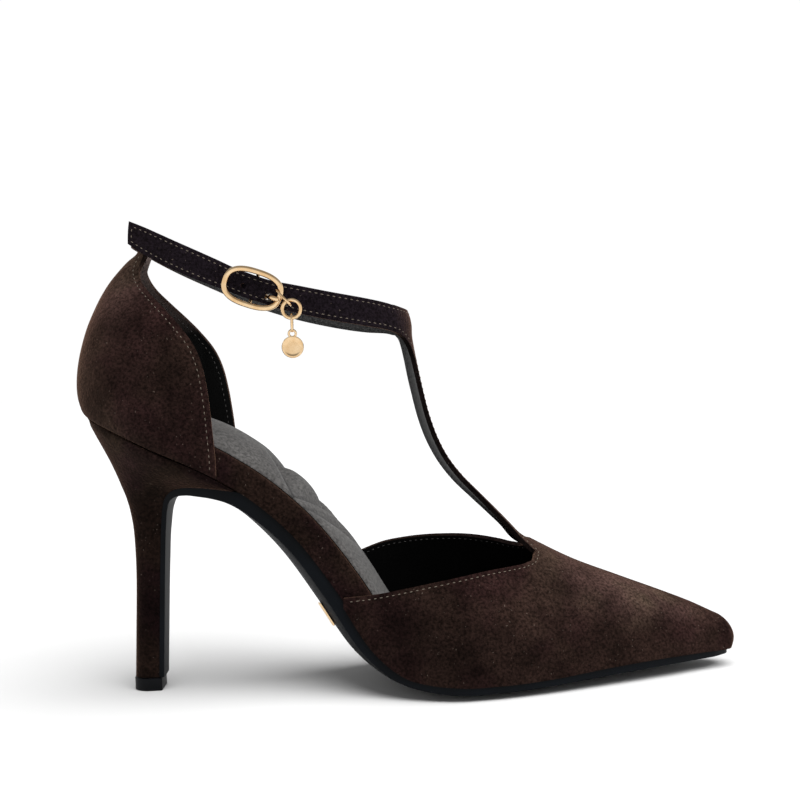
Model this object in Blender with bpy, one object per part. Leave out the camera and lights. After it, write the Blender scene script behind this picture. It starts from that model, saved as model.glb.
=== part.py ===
"""Right heeled shoe: a suede T-strap pump with an open waist, a buckled ankle strap and a thin heel.

The toe points along +X, the outer side of the foot is -Y and +Z is up. The tables below hold
millimetres, and the objects are made in metres.
"""
import math

import bpy
import bmesh
import numpy as np
from mathutils import Vector

MM = 0.001
GAP = 0.3
LATERAL = -1
MEDIAL = 1
SHARP_ANGLE = 35.0
HALVINGS = 40
CENTRE = (-0.46, 0.04, 0.0)


def table(names, *rows):
    """Return the named columns of a table."""
    return dict(zip(names.split(), np.array(rows, float).T))


# The last: bottom line, outline, ridge and toplines

BOTTOM = table(
    "x z",
    (-112, 97.1),
    (-88, 86.0),
    (-63, 73.7),
    (-50, 64.6),
    (-36.5, 51.4),
    (-24.5, 34.8),
    (-14, 18.6),
    (-5, 10.6),
    (5, 7.0),
    (14, 5.8),
    (29, 5.3),
    (47, 5.5),
    (65, 6.2),
    (85, 6.6),
    (116, 6.1),
)
OUTLINE = table(
    "x lateral medial",
    (-73, 24.3, 24.3),
    (-62, 23.2, 22.6),
    (-45, 21.9, 20.2),
    (-28, 23.6, 20.6),
    (-12, 28.4, 25.4),
    (3, 34.0, 31.5),
    (14, 36.3, 35.0),
    (26, 35.2, 36.3),
    (42, 31.2, 34.0),
    (60, 24.9, 28.8),
    (78, 17.8, 22.0),
    (92, 11.7, 15.9),
    (100, 7.7, 12.7),
    (109, 3.7, 9.3),
)
MIDLINE = table("x y", (30, 0.0), (60, 0.6), (85, 1.8), (109, 2.8))
RIDGE = table(
    "x z",
    (-30, 96.0),
    (0, 73.0),
    (20, 61.5),
    (43.2, 47.5),
    (56.8, 40.2),
    (73.4, 33.3),
    (90.1, 26.6),
    (98.4, 23.1),
    (109, 18.0),
)
HEEL_BACK = -110.2
HEEL_ROUND = 38.0
TOE_ROUND = 8.0
NOSE_AXIS = 109.0
NOSE_TAPER = 0.47
NOSE_SLOPE = -0.65
NOSE_TUCK = 0.4
NOSE_BULGE = 0.1
NOSE_DROP = 0.2
NOSE_TURNS = (78, 65, 49, 33, 16)
ARCH_OUT = (1.0, 1.03, 0.62, 0.0)
ARCH_UP = (0.0, 0.5, 1.0, 1.0)

# The front upper: toplines of the vamp, T-strap and ankle arms

VAMP_WALL = 1.6
THROAT_X = 43.2
THROAT_RUN = (34.0, 13)
THROAT_CORNER = (37, 39.5, 41.2, 42.4)
TOE_RUNS = ((THROAT_X, 92, 11), (96, NOSE_AXIS, 4))
WALL_ROWS = 6
STRAP_COLUMNS = 4
LATERAL_TOP = table(
    "x z",
    (-22.6, 33.2),
    (-13.5, 34.3),
    (5, 37.8),
    (15, 39.5),
    (26, 40.9),
    (34, 41.4),
    (39.3, 41.9),
    (42.2, 43.1),
    (43.2, 44.8),
)
MEDIAL_TOP = table(
    "x z",
    (-26.2, 39.2),
    (-16.6, 42.8),
    (-9.5, 45.2),
    (0, 46.6),
    (13, 47.1),
    (25, 46.6),
    (34, 45.2),
    (39.3, 44.1),
    (42.2, 44.2),
    (43.2, 45.2),
)
T_STRAP = table(
    "x z half_width sag lean",
    (41.8, 48.4, 9.4, 1.7, 0.9),
    (39.3, 50.4, 7.3, 1.3, 1.3),
    (36.2, 53.7, 6.5, 1.0, 1.1),
    (31.3, 59.2, 6.1, 1.0, 1.4),
    (25.7, 65.3, 6.0, 1.0, 1.8),
    (20.2, 71.3, 6.0, 1.0, 2.1),
    (15.4, 78.0, 6.0, 1.0, 2.2),
    (12.1, 85.0, 6.0, 1.0, 2.4),
    (9.7, 92.5, 6.0, 1.0, 2.5),
    (8.0, 100.0, 6.0, 1.0, 2.5),
    (6.7, 107.0, 6.0, 1.1, 2.5),
    (5.7, 113.2, 6.2, 1.5, 2.2),
    (4.9, 117.4, 7.2, 2.2, 1.6),
    (4.3, 119.8, 8.8, 3.2, 0.8),
    (4.0, 121.4, 11.2, 4.9, 0.2),
)
ARM_WIDTH = 9.0
ARM_FRONT_LEAN = (-0.2, -1.3)
ARM_END_CUT = 0.93
ARM_LEAN = 0.05
ARM_STEP = 0.01
LATERAL_END_SLANT = 0.9
ANKLE_X = -45.0
LATERAL_ARM = table(
    "x y z half_width",
    (-4.6, -13.4, 126.3, 4.6),
    (-12, -17.8, 127.8, 4.6),
    (-24, -21.8, 130.1, 4.6),
    (-37, -24.1, 133.1, 4.4),
    (-43.5, -24.6, 134.9, 4.0),
    (-50, -24.7, 137.2, 4.0),
    (-56, -24.4, 139.7, 4.0),
    (-62, -23.9, 142.4, 4.3),
    (-76, -21.2, 149.2, 4.4),
    (-90.2, -16.7, 157.0, 3.8),
)
MEDIAL_ARM = table(
    "x y z half_width",
    (-4.6, 13.4, 125.9, 4.6),
    (-12, 17.8, 126.9, 4.6),
    (-24, 21.8, 129.3, 4.6),
    (-38, 24.0, 133.0, 4.6),
    (-52, 24.0, 138.0, 4.6),
    (-66, 22.3, 144.4, 4.6),
    (-79, 18.2, 150.6, 4.5),
    (-87.6, 12.0, 155.0, 4.2),
    (-91.8, 4.0, 157.1, 4.0),
    (-91.8, -4.0, 157.1, 3.8),
    (-87.6, -12.0, 155.0, 3.8),
    (-79, -17.7, 150.6, 4.1),
    (-66, -20.9, 144.4, 4.0),
    (-56, -21.2, 139.9, 3.5),
    (-46.5, -20.6, 136.0, 3.5),
)
LATERAL_ARM_STATIONS = 20
MEDIAL_ARM_STATIONS = 38

# The back upper: each row runs round the back from edge to edge

COUNTER_WALL = 2.0
COUNTER_COLUMNS = 11
COUNTER_MEDIAL_LEAD = 2.4
COUNTER_LEAD_ROWS = 7
COUNTER = table(
    "edge_x edge_z back_x back_z half_width",
    (-63.3, 74.2, -110.2, 96.4, 24.3),
    (-63.1, 80.0, -112.0, 99.4, 25.4),
    (-63.4, 87.0, -112.9, 104.0, 26.0),
    (-63.9, 95.0, -112.8, 109.6, 26.2),
    (-64.7, 103.2, -111.9, 115.5, 26.0),
    (-66.1, 111.4, -110.4, 121.3, 25.6),
    (-68.6, 118.2, -108.5, 126.9, 24.9),
    (-72.8, 124.4, -106.0, 132.4, 23.8),
    (-78.2, 129.8, -103.3, 137.5, 22.3),
    (-83.4, 135.2, -100.3, 142.0, 20.5),
    (-87.0, 140.4, -97.1, 145.8, 18.6),
    (-88.2, 145.2, -94.0, 149.0, 17.0),
    (-86.7, 149.4, -90.3, 152.0, 15.6),
    (-86.2, 155.0, -88.9, 157.2, 13.4),
)

# The bottom: sole, footbed, insole, heel and tip

SOLE_END = 111.8
SOLE_TOE_STEPS = (0.15, 0.9, 2.4, 4.6)
SOLE_RUNS = ((102, 40, 9), (34, 4, 6), (0, -52, 14))
SOLE_ACROSS = 9
SOLE = table(
    "x edge crown inset",
    (-52, 4.5, 2.2, 1.8),
    (-36, 4.8, 2.9, 2.2),
    (-20, 4.8, 3.4, 1.9),
    (-6, 4.2, 3.4, 1.2),
    (6, 3.5, 3.0, 0.7),
    (14, 3.2, 2.9, 0.5),
    (29, 2.8, 2.7, 0.5),
    (47, 2.4, 2.2, 0.5),
    (70, 2.3, 1.6, 0.5),
    (92, 2.1, 1.0, 0.5),
    (112, 1.6, 0.4, 0.5),
)
BREAST = table(
    "x z edge crown half_width",
    (-55.5, 68.1, 4.2, 1.9, 20.4),
    (-60, 69.1, 3.6, 1.6, 19.4),
    (-65.5, 69.7, 3.0, 1.4, 17.6),
    (-71, 70.1, 2.6, 1.1, 15.2),
    (-76.5, 70.0, 2.3, 0.8, 12.4),
    (-80.4, 68.8, 1.8, 0.5, 10.2),
    (-82.6, 66.6, 1.5, 0.3, 8.5),
    (-83.6, 63.6, 1.3, 0.2, 7.2),
    (-84.5, 57.0, 1.2, 0.1, 6.0),
    (-85.4, 44.0, 1.2, 0.1, 5.3),
    (-86.4, 24.0, 1.2, 0.1, 5.0),
    (-87.3, 4.8, 1.2, 0.1, 4.9),
)
BED_SPACING = 7.0
BED_HEEL_TURNS = (12, 25, 38, 52, 68)
BED_TOE_TURNS = (70, 50, 32, 16)
FOOTBED_BACK = -107.4
FOOTBED_END = 104.0
FOOTBED = table(
    "x thickness inset",
    (-107.4, 7.0, 2.6),
    (-66, 8.8, 2.6),
    (-59, 8.7, 0.9),
    (-36, 8.6, 0.9),
    (-26, 8.8, 2.1),
    (-14, 8.6, 2.1),
    (0, 6.0, 2.1),
    (14, 3.4, 2.1),
    (45, 2.6, 2.1),
    (104, 2.2, 2.1),
)
FOOTBED_ROUND = 1.6
ROUND_SHARE_UP = 0.4
ROUND_SHARE_OUT = 0.3
INSOLE_BACK = -104.0
INSOLE_END = 98.0
INSOLE_INSET = 1.9
INSOLE_ACROSS = 7
INSOLE = table(
    "x edge crown",
    (-106, 0.8, 2.0),
    (-62, 0.9, 4.6),
    (-48, 0.9, 3.8),
    (-20, 0.9, 2.1),
    (10, 0.8, 1.2),
    (100, 0.7, 0.8),
)
HEEL = table(
    "back_x back_z front_x front_z half_width front_half",
    (-96.7, 4.7, -87.6, 4.7, 5.1, 4.6),
    (-96.0, 20.0, -86.9, 20.0, 5.1, 4.7),
    (-95.2, 40.0, -86.0, 40.0, 5.3, 4.9),
    (-95.4, 54.0, -85.1, 54.0, 5.8, 5.4),
    (-96.3, 61.5, -84.3, 61.0, 6.7, 6.2),
    (-97.5, 66.7, -83.3, 66.4, 8.4, 7.8),
    (-99.0, 71.0, -80.8, 69.2, 10.6, 9.8),
    (-100.7, 75.6, -76.7, 70.4, 13.4, 12.0),
    (-102.7, 80.4, -71.2, 70.5, 16.6, 14.8),
    (-104.8, 84.8, -65.6, 70.1, 19.6, 17.3),
    (-107.0, 89.2, -60.6, 69.6, 22.2, 19.2),
    (-108.8, 93.0, -58.0, 69.3, 23.6, 20.0),
    (-109.7, 95.7, -58.0, 70.5, 24.0, 20.6),
)
HEEL_SIDE = 9
PLAN_ROUND = 0.62
PLAN_FLARE = 0.5
TIP_BACK = -97.0
TIP_FRONT = -86.9
TIP_HALF = 5.2
TIP_FRONT_HALF = 4.8
TIP_HEIGHT = 4.4

# The metal: buckle, prong, links, ring, charm and badge

WIRE_SIDES = 8
ROUND_SIDES = 24
BUCKLE_AT = (-48.5, -26.8, 136.2)
BUCKLE_TILT = 19.4
FRAME_HALF_LENGTH = 9.35
FRAME_HALF_HEIGHT = 5.65
FRAME_POWER = 2.6
FRAME_WIRE = (0.85, 0.8)
FRAME_POINTS = 28
BAR_RADIUS = 0.6
BAR_DEPTH = 4.55
BAR_HALF = 5.3
BAR_BENDS = table("depth up", (0.0, 1.06), (0.5, 1.0), (0.85, 0.95), (1.0, 0.82))
PRONG_RADIUS = 0.65
PRONG_DROP = -1.1
PRONG_STATIONS = 13
PRONG_PATH = table(
    "along out",
    (1.2, -4.6),
    (4.2, -4.6),
    (5.4, -3.8),
    (5.8, -2.4),
    (6.1, -0.8),
    (6.9, 0.9),
    (8.3, 1.7),
    (9.65, 1.7),
)
PRONG_HOLE = (5.8, -1.1, 1.45)
SPARE_HOLE = (-3.3, 0.0, 0.9)
PUNCH_OUT = (2.0, -4.6)
HOLE_SIDES = 12
LINK_POINTS = 20
LINK_BAR = (9.35, 0.8)
LINK_WIRE = 0.42
LINK_TOP_HALF = 1.65
LINK_LOW_HALF = 2.05
LINK_END_POINTS = 9
LINK_PLAY = 0.75
RING_CENTRE = (-35.9, -28.8, 128.9)
RING_RADIUS = 2.95
RING_WIRE = 0.6
RING_LINK_ANGLE = 118.0
CHARM_LINK_LENGTH = 5.6
CHARM_LINK_HALF = 1.15
CHARM_WIRE = 0.4
BAIL_RADIUS = 1.15
BAIL_POINTS = 16
DISC_RADIUS = 3.6
DISC_THICKNESS = 1.1
BADGE_X = (-24.4, -19.6)
BADGE_ACROSS = (-0.60, -0.38)
BADGE_HEIGHT = 0.7
BADGE_CELLS = 4
BADGE_MARGIN = 8.0


# Curves and sections

def smooth(keys, values):
    """Return a cubic through the points, with slopes from their neighbours."""
    keys = np.asarray(keys, float)
    values = np.asarray(values, float)
    steps = np.diff(keys)
    chords = np.diff(values) / steps
    slopes = np.empty(len(keys))
    slopes[0] = chords[0]
    slopes[-1] = chords[-1]
    slopes[1:-1] = (chords[:-1] * steps[1:] + chords[1:] * steps[:-1]) / (steps[1:] + steps[:-1])

    def value(at):
        at = np.clip(at, keys[0], keys[-1])
        k = np.clip(np.searchsorted(keys, at) - 1, 0, len(keys) - 2)
        t = (at - keys[k]) / steps[k]
        start = values[k] * (1 + 2 * t) * (1 - t) ** 2 + steps[k] * slopes[k] * t * (1 - t) ** 2
        end = values[k + 1] * t * t * (3 - 2 * t) - steps[k] * slopes[k + 1] * t * t * (1 - t)
        return start + end

    return value


def smooth_path(points):
    """Return a smooth path through the points, as a function from 0 to 1."""
    points = np.asarray(points, float)
    lengths = np.linalg.norm(np.diff(points, axis=0), axis=1)
    keys = np.concatenate(([0.0], np.cumsum(lengths))) / lengths.sum()
    axes = [smooth(keys, points[:, axis]) for axis in range(points.shape[1])]
    return lambda at: np.array([axis(at) for axis in axes])


seat_z = smooth(BOTTOM["x"], BOTTOM["z"])
ridge_z = smooth(RIDGE["x"], RIDGE["z"])
midline_y = smooth(MIDLINE["x"], MIDLINE["y"])
outline_of = {
    LATERAL: smooth(OUTLINE["x"], OUTLINE["lateral"]),
    MEDIAL: smooth(OUTLINE["x"], OUTLINE["medial"]),
}
topline_of = {
    LATERAL: smooth(LATERAL_TOP["x"], LATERAL_TOP["z"]),
    MEDIAL: smooth(MEDIAL_TOP["x"], MEDIAL_TOP["z"]),
}


def round_end(depth, length):
    """Return the width share of an elliptic end, from 0 at its tip to 1."""
    share = min(max(depth / length, 0.0), 1.0)
    return math.sqrt(1 - (1 - share) ** 2)


def edge_y(x, side, inset, toe_end):
    """Return the outline's Y at x on one side, drawn in by an inset and closed at a toe end."""
    middle = float(midline_y(x))
    half = float(outline_of[side](x)) - side * middle - inset
    half *= round_end(x - HEEL_BACK - inset, HEEL_ROUND)
    half *= round_end(toe_end - x, TOE_ROUND)
    return middle + side * half


def bezier(controls, t):
    """Return a cubic Bezier's value at t."""
    a, b, c, d = controls
    s = 1 - t
    return a * s ** 3 + 3 * b * s * s * t + 3 * c * s * t * t + d * t ** 3


def section_point(x, side, t):
    """Return the last's point at x, from the feather line (t = 0) to the ridge (t = 1)."""
    middle = float(midline_y(x))
    half = float(outline_of[side](x)) - side * middle
    low = float(seat_z(x))
    rise = float(ridge_z(x)) - low
    return (x, middle + side * half * bezier(ARCH_OUT, t), low + rise * bezier(ARCH_UP, t))


def nose_point(angle, side, t):
    """Return the point of the round nose at an angle from straight ahead."""
    middle = float(midline_y(NOSE_AXIS))
    half = float(outline_of[side](NOSE_AXIS)) - side * middle
    tangent_angle = math.pi / 2 - math.atan(NOSE_TAPER)
    turn = max(angle, tangent_angle)
    reach = half / (math.sin(turn) + NOSE_TAPER * math.cos(turn))
    ahead = math.cos(angle) ** 2
    outs = (1 - NOSE_TUCK * ahead, ARCH_OUT[1] + NOSE_BULGE * ahead, ARCH_OUT[2], ARCH_OUT[3])
    out = reach * bezier(outs, t)
    low = float(seat_z(NOSE_AXIS))
    rise = float(ridge_z(NOSE_AXIS)) - low
    droop = NOSE_SLOPE * ARCH_OUT[2] * reach * math.cos(angle) / rise
    ups = (ARCH_UP[0], ARCH_UP[1] - NOSE_DROP * ahead, ARCH_UP[2] + droop, ARCH_UP[3])
    place = NOSE_AXIS + out * math.cos(angle), middle + side * out * math.sin(angle)
    return (*place, low + rise * bezier(ups, t))


def topline_share(x, side):
    """Return the share of the section at x that lies at the topline's height."""
    height = float(topline_of[side](x))
    low, high = 0.0, 1.0
    for _ in range(HALVINGS):
        share = (low + high) / 2
        if section_point(x, side, share)[2] < height:
            low = share
        else:
            high = share
    return share


# Mesh makers

class Patch:
    """Points with keys, and faces between rows of them."""

    def __init__(self):
        self.keys = {}
        self.points = []
        self.faces = []

    def point(self, key, place):
        if key not in self.keys:
            self.keys[key] = len(self.points)
            self.points.append(place)
        return self.keys[key]

    def strip(self, low, high):
        """Join two rows that run to the right as seen from outside."""
        for i in range(len(low) - 1):
            corners = (low[i], low[i + 1], high[i + 1], high[i])
            self.faces.append(tuple(dict.fromkeys(corners)))

    def grid(self, rows):
        for low, high in zip(rows, rows[1:]):
            self.strip(low, high)


def material(name, colour, roughness, metallic=0.0):
    """Return a plain material."""
    made = bpy.data.materials.new(name)
    made.use_nodes = True
    shader = made.node_tree.nodes["Principled BSDF"]
    shader.inputs["Base Color"].default_value = (*colour, 1.0)
    shader.inputs["Roughness"].default_value = roughness
    shader.inputs["Metallic"].default_value = metallic
    return made


def add_object(name, points, faces, look, origin=(0, 0, 0)):
    """Make an object from points in millimetres, placed at its origin."""
    mesh = bpy.data.meshes.new(name)
    local = (np.asarray(points, float) - np.asarray(origin, float)) * MM
    mesh.from_pydata(local.tolist(), [], faces)
    mesh.shade_smooth()
    mesh.set_sharp_from_angle(angle=math.radians(SHARP_ANGLE))
    mesh.materials.append(look)
    made = bpy.data.objects.new(name, mesh)
    made.location = Vector(origin) * MM
    bpy.context.collection.objects.link(made)
    return made


def close_outward(made):
    """Turn a closed mesh's faces outward."""
    work = bmesh.new()
    work.from_mesh(made.data)
    bmesh.ops.recalc_face_normals(work, faces=work.faces)
    work.to_mesh(made.data)
    work.free()
    return made


def loft(name, loops, look, joined=False, origin=(0, 0, 0)):
    """Skin a run of equal loops, with flat ends or joined into a ring."""
    count = len(loops[0])
    points = [point for loop in loops for point in loop]
    faces = []
    spans = len(loops) if joined else len(loops) - 1
    for i in range(spans):
        here = i * count
        there = (i + 1) % len(loops) * count
        for j in range(count):
            k = (j + 1) % count
            faces.append((here + j, here + k, there + k, there + j))
    if not joined:
        faces.append(tuple(range(count)))
        faces.append(tuple(range(len(points) - count, len(points))))
    return close_outward(add_object(name, points, faces, look, origin))


def oval(centre, first, second, count):
    """Return points round an ellipse with two half axes."""
    centre, first, second = (np.asarray(vector, float) for vector in (centre, first, second))
    turns = np.arange(count) * 2 * math.pi / count
    return [centre + math.cos(turn) * first + math.sin(turn) * second for turn in turns]


def tube_loops(path, radii, across, sides=WIRE_SIDES, closed=False):
    """Return elliptic loops along a path; across is the loops' second axis."""
    path = np.asarray(path, float)
    if closed:
        tangents = np.roll(path, -1, axis=0) - np.roll(path, 1, axis=0)
    else:
        tangents = np.gradient(path, axis=0)
    across = np.asarray(across, float)
    loops = []
    for place, tangent in zip(path, tangents):
        first = np.cross(tangent, across)
        first /= np.linalg.norm(first)
        second = np.cross(first, tangent)
        second /= np.linalg.norm(second)
        loops.append(oval(place, radii[0] * first, radii[1] * second, sides))
    return loops


def boolean(target, tool, operation):
    """Cut or join a target with a tool that stays as a guide."""
    tool.hide_render = True
    tool.display_type = "WIRE"
    step = target.modifiers.new(tool.name, "BOOLEAN")
    step.operation = operation
    step.solver = "EXACT"
    step.object = tool


def thicken(made, wall):
    """Give an outer skin a wall on its inner side."""
    step = made.modifiers.new("wall", "SOLIDIFY")
    step.thickness = wall * MM
    step.offset = -1
    step.use_even_offset = True
    step.use_quality_normals = True
    step.use_rim = True


# The front upper

def vamp_stations():
    """Return the X of the sections in front of the throat."""
    return np.concatenate([np.linspace(*run) for run in TOE_RUNS])


def throat_stations(side):
    """Return the X of the sections behind the throat, from the back corner."""
    back = (LATERAL_TOP if side == LATERAL else MEDIAL_TOP)["x"][0]
    return np.concatenate((np.linspace(back, *THROAT_RUN), THROAT_CORNER))


def wall_column(patch, side, x, top):
    """Add one section's wall points, from the feather line to a share of the section."""
    places = [section_point(x, side, top * row / WALL_ROWS) for row in range(WALL_ROWS + 1)]
    return [patch.point((side, x, row), place) for row, place in enumerate(places)]


def full_column(patch, side, x, top):
    """Add one section up to the ridge, which both sides share."""
    column = wall_column(patch, side, x, top)
    for step in range(1, STRAP_COLUMNS + 1):
        share = top + (1 - top) * step / STRAP_COLUMNS
        key = (side, x, WALL_ROWS + step) if step < STRAP_COLUMNS else ("ridge", x)
        column.append(patch.point(key, section_point(x, side, share)))
    return column


def nose_column(patch, side, angle, top):
    """Add one section of the round nose, up to the pole on the ridge."""
    shares = [top * row / WALL_ROWS for row in range(WALL_ROWS)]
    shares += [top + (1 - top) * step / STRAP_COLUMNS for step in range(STRAP_COLUMNS)]
    where = side if angle > 0 else 0
    column = [
        patch.point((where, "nose", angle, row), nose_point(angle, side, share))
        for row, share in enumerate(shares)
    ]
    return column + [patch.point(("ridge", NOSE_AXIS), None)]


def vamp_columns(patch):
    """Return the columns of the wall, from the lateral corner round the toe to the medial one."""
    columns = []
    tops = {side: topline_share(THROAT_X, side) for side in (LATERAL, MEDIAL)}
    for x in throat_stations(LATERAL):
        columns.append(wall_column(patch, LATERAL, x, topline_share(x, LATERAL)))
    for x in vamp_stations():
        columns.append(full_column(patch, LATERAL, x, tops[LATERAL]))
    angles = [math.radians(turn) for turn in NOSE_TURNS]
    columns += [nose_column(patch, LATERAL, angle, tops[LATERAL]) for angle in angles]
    columns.append(nose_column(patch, LATERAL, 0.0, tops[LATERAL]))
    columns += [nose_column(patch, MEDIAL, angle, tops[MEDIAL]) for angle in reversed(angles)]
    for x in reversed(vamp_stations()):
        columns.append(full_column(patch, MEDIAL, x, tops[MEDIAL]))
    for x in reversed(throat_stations(MEDIAL)):
        columns.append(wall_column(patch, MEDIAL, x, topline_share(x, MEDIAL)))
    return columns


def join_columns(patch, columns):
    """Join neighbouring columns over the rows that both have."""
    for left, right in zip(columns, columns[1:]):
        shared = min(len(left), len(right))
        for row in range(shared - 1):
            patch.strip((left[row], right[row]), (left[row + 1], right[row + 1]))


def t_strap_rows(patch):
    """Return the T-strap's rows, from the throat section up to the ankle arms."""
    steps = range(STRAP_COLUMNS)
    lateral = [patch.point((LATERAL, THROAT_X, WALL_ROWS + step), None) for step in steps]
    medial = [patch.point((MEDIAL, THROAT_X, WALL_ROWS + step), None) for step in reversed(steps)]
    rows = [lateral + [patch.point(("ridge", THROAT_X), None)] + medial]
    ridge = np.column_stack((T_STRAP["x"], T_STRAP["z"]))
    tangents = np.gradient(ridge, axis=0)
    for k, (x, z) in enumerate(ridge):
        tx, tz = tangents[k] / np.linalg.norm(tangents[k])
        row = []
        for column in range(-STRAP_COLUMNS, STRAP_COLUMNS + 1):
            across = column / STRAP_COLUMNS
            behind = T_STRAP["sag"][k] * across ** 2 + T_STRAP["lean"][k] * (across + 1) / 2
            place = (x - tz * behind, across * T_STRAP["half_width"][k], z + tx * behind)
            row.append(patch.point(("strap", k, column), place))
        rows.append(row)
    return rows


def arm_sections(start, arm, count, end_slant):
    """Return the low, middle and high points along one ankle arm, from its start to its end."""
    columns = np.column_stack([arm[name] for name in ("x", "y", "z", "half_width")])
    path = smooth_path(np.vstack(((*start, ARM_WIDTH / 2), columns)))
    sections = []
    for step in range(1, count + 1):
        at = step / count
        centre, half = np.split(path(at), [3])
        ahead = (path(min(at + ARM_STEP, 1.0)) - path(max(at - ARM_STEP, 0.0)))[:3]
        ahead /= np.linalg.norm(ahead)
        inward = np.array((ANKLE_X - centre[0], -centre[1], 0.0))
        up = np.array((0.0, 0.0, 1.0)) + ARM_LEAN * inward / np.linalg.norm(inward)
        square = 1.0 if at < ARM_END_CUT else 1 - end_slant * (at - ARM_END_CUT) / (1 - ARM_END_CUT)
        up -= ahead * np.dot(up, ahead) * square
        up *= half / np.linalg.norm(up)
        sections.append((centre - up, centre, centre + up))
    return sections


def ankle_arms(patch, front):
    """Add the band round the ankle, whose low edge over the instep is the T-strap's last row."""
    low = [np.array(patch.points[index]) for index in front]
    rises = [np.array((lean, 0.0, ARM_WIDTH * share)) for lean, share in zip(ARM_FRONT_LEAN, (0.5, 1.0))]
    rows = [list(front)]
    for level, rise in enumerate(rises):
        rows.append([patch.point(("front", level, i), place + rise) for i, place in enumerate(low)])
    lateral = arm_sections(low[0] + rises[0], LATERAL_ARM, LATERAL_ARM_STATIONS, LATERAL_END_SLANT)
    medial = arm_sections(low[-1] + rises[0], MEDIAL_ARM, MEDIAL_ARM_STATIONS, 0.0)
    for level, row in enumerate(rows):
        before = [patch.point(("lateral arm", i, level), s[level]) for i, s in enumerate(lateral)]
        after = [patch.point(("medial arm", i, level), s[level]) for i, s in enumerate(medial)]
        rows[level] = before[::-1] + row + after
    patch.grid(rows)


def make_vamp(look):
    """Make the front upper with its T-strap and ankle arms in one wall."""
    patch = Patch()
    columns = vamp_columns(patch)
    join_columns(patch, columns)
    rows = t_strap_rows(patch)
    patch.grid(rows)
    ankle_arms(patch, rows[-1])
    made = add_object("vamp", patch.points, patch.faces, look)
    thicken(made, VAMP_WALL)
    return made


# The back upper

def counter_row(row):
    """Return one row of the counter, from the medial edge round the back to the lateral edge."""
    edge_z = COUNTER["edge_z"][row]
    back_x, back_z = COUNTER["back_x"][row], COUNTER["back_z"][row]
    places = []
    for column in range(-COUNTER_COLUMNS, COUNTER_COLUMNS + 1):
        turn = abs(column) / COUNTER_COLUMNS
        lead = COUNTER_MEDIAL_LEAD * max(1 - row / COUNTER_LEAD_ROWS, 0.0) if column < 0 else 0.0
        edge_x = COUNTER["edge_x"][row] + lead
        share = 1 - math.cos(turn * math.pi / 2)
        x = back_x + (edge_x - back_x) * share
        half = COUNTER["half_width"][row] * round_end(x - back_x, HEEL_ROUND)
        half *= float(outline_of[LATERAL](x)) / OUTLINE["lateral"][0]
        z = back_z + (edge_z - back_z) * share
        if row == 0:
            z = float(seat_z(x))
        places.append((x, -math.copysign(half, column), z))
    return places


def make_counter(look):
    """Make the back upper with its standing tab."""
    patch = Patch()
    rows = []
    for row in range(len(COUNTER["edge_x"])):
        rows.append([patch.point((row, i), place) for i, place in enumerate(counter_row(row))])
    patch.grid(rows)
    made = add_object("counter", patch.points, patch.faces, look)
    thicken(made, COUNTER_WALL)
    return made


# The bottom

def sole_path():
    """Return the sole's upper line from toe to flap, with its sizes at each station."""
    columns = {name: smooth(SOLE["x"], SOLE[name]) for name in ("edge", "crown", "inset")}
    runs = [np.linspace(*run) for run in SOLE_RUNS]
    stations = []
    for x in np.concatenate((SOLE_END - np.array(SOLE_TOE_STEPS), *runs)):
        edge, crown, inset = (float(column(x)) for column in columns.values())
        sides = [edge_y(x, side, inset, SOLE_END) for side in (LATERAL, MEDIAL)]
        stations.append((x, float(seat_z(x)) - GAP, edge, crown, *sides))
    for x, z, edge, crown, half in zip(*BREAST.values()):
        stations.append((x, z, edge, crown, -half, half))
    return np.array(stations)


def sole_normals(stations):
    """Return the outward direction of the sole's lower face at each station, as X and Z."""
    tangents = np.gradient(stations[:, :2], axis=0)
    tangents /= np.linalg.norm(tangents, axis=1)[:, None]
    return np.column_stack((-tangents[:, 1], tangents[:, 0]))


def sole_under(station, normal, across, extra=0.0):
    """Return the point of the sole's lower face at a share across it."""
    x, z, edge, crown, lateral, medial = station
    depth = edge + crown * (1 - across * across) + extra
    y = lateral + (medial - lateral) * (across + 1) / 2
    return (x + normal[0] * depth, y, max(z + normal[1] * depth, 0.0))


def make_outsole(look):
    """Make the sole, whose lower face is flat where it would pass below the floor."""
    stations = sole_path()
    normals = sole_normals(stations)
    loops = []
    for station, normal in zip(stations, normals):
        x, z, _, _, lateral, medial = station
        upper = [(x, lateral, z), (x, (lateral + medial) / 2, z), (x, medial, z)]
        lower = [sole_under(station, normal, across) for across in np.linspace(1, -1, SOLE_ACROSS)]
        loops.append(upper + lower)
    return loft("outsole", loops, look)


def bed_stations(back, end):
    """Return X from a round back to a round toe, closer together at both ends."""
    heel = back + HEEL_ROUND * (1 - np.cos(np.radians(BED_HEEL_TURNS)))
    toe = end - TOE_ROUND * (1 - np.cos(np.radians(BED_TOE_TURNS)))
    middle = np.linspace(heel[-1], toe[0], int((toe[0] - heel[-1]) / BED_SPACING) + 2)
    return np.concatenate((heel, middle[1:-1], toe))


def bed_normal(x):
    """Return the direction out of the bottom line at x, as X and Z."""
    slope = float(seat_z(x + 0.5) - seat_z(x - 0.5))
    return np.array((-slope, 1.0)) / math.hypot(slope, 1.0)


def footbed_size(x):
    """Return the footbed's thickness and inset at x."""
    return (
        float(smooth(FOOTBED["x"], FOOTBED["thickness"])(x)),
        float(smooth(FOOTBED["x"], FOOTBED["inset"])(x)),
    )


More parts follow.
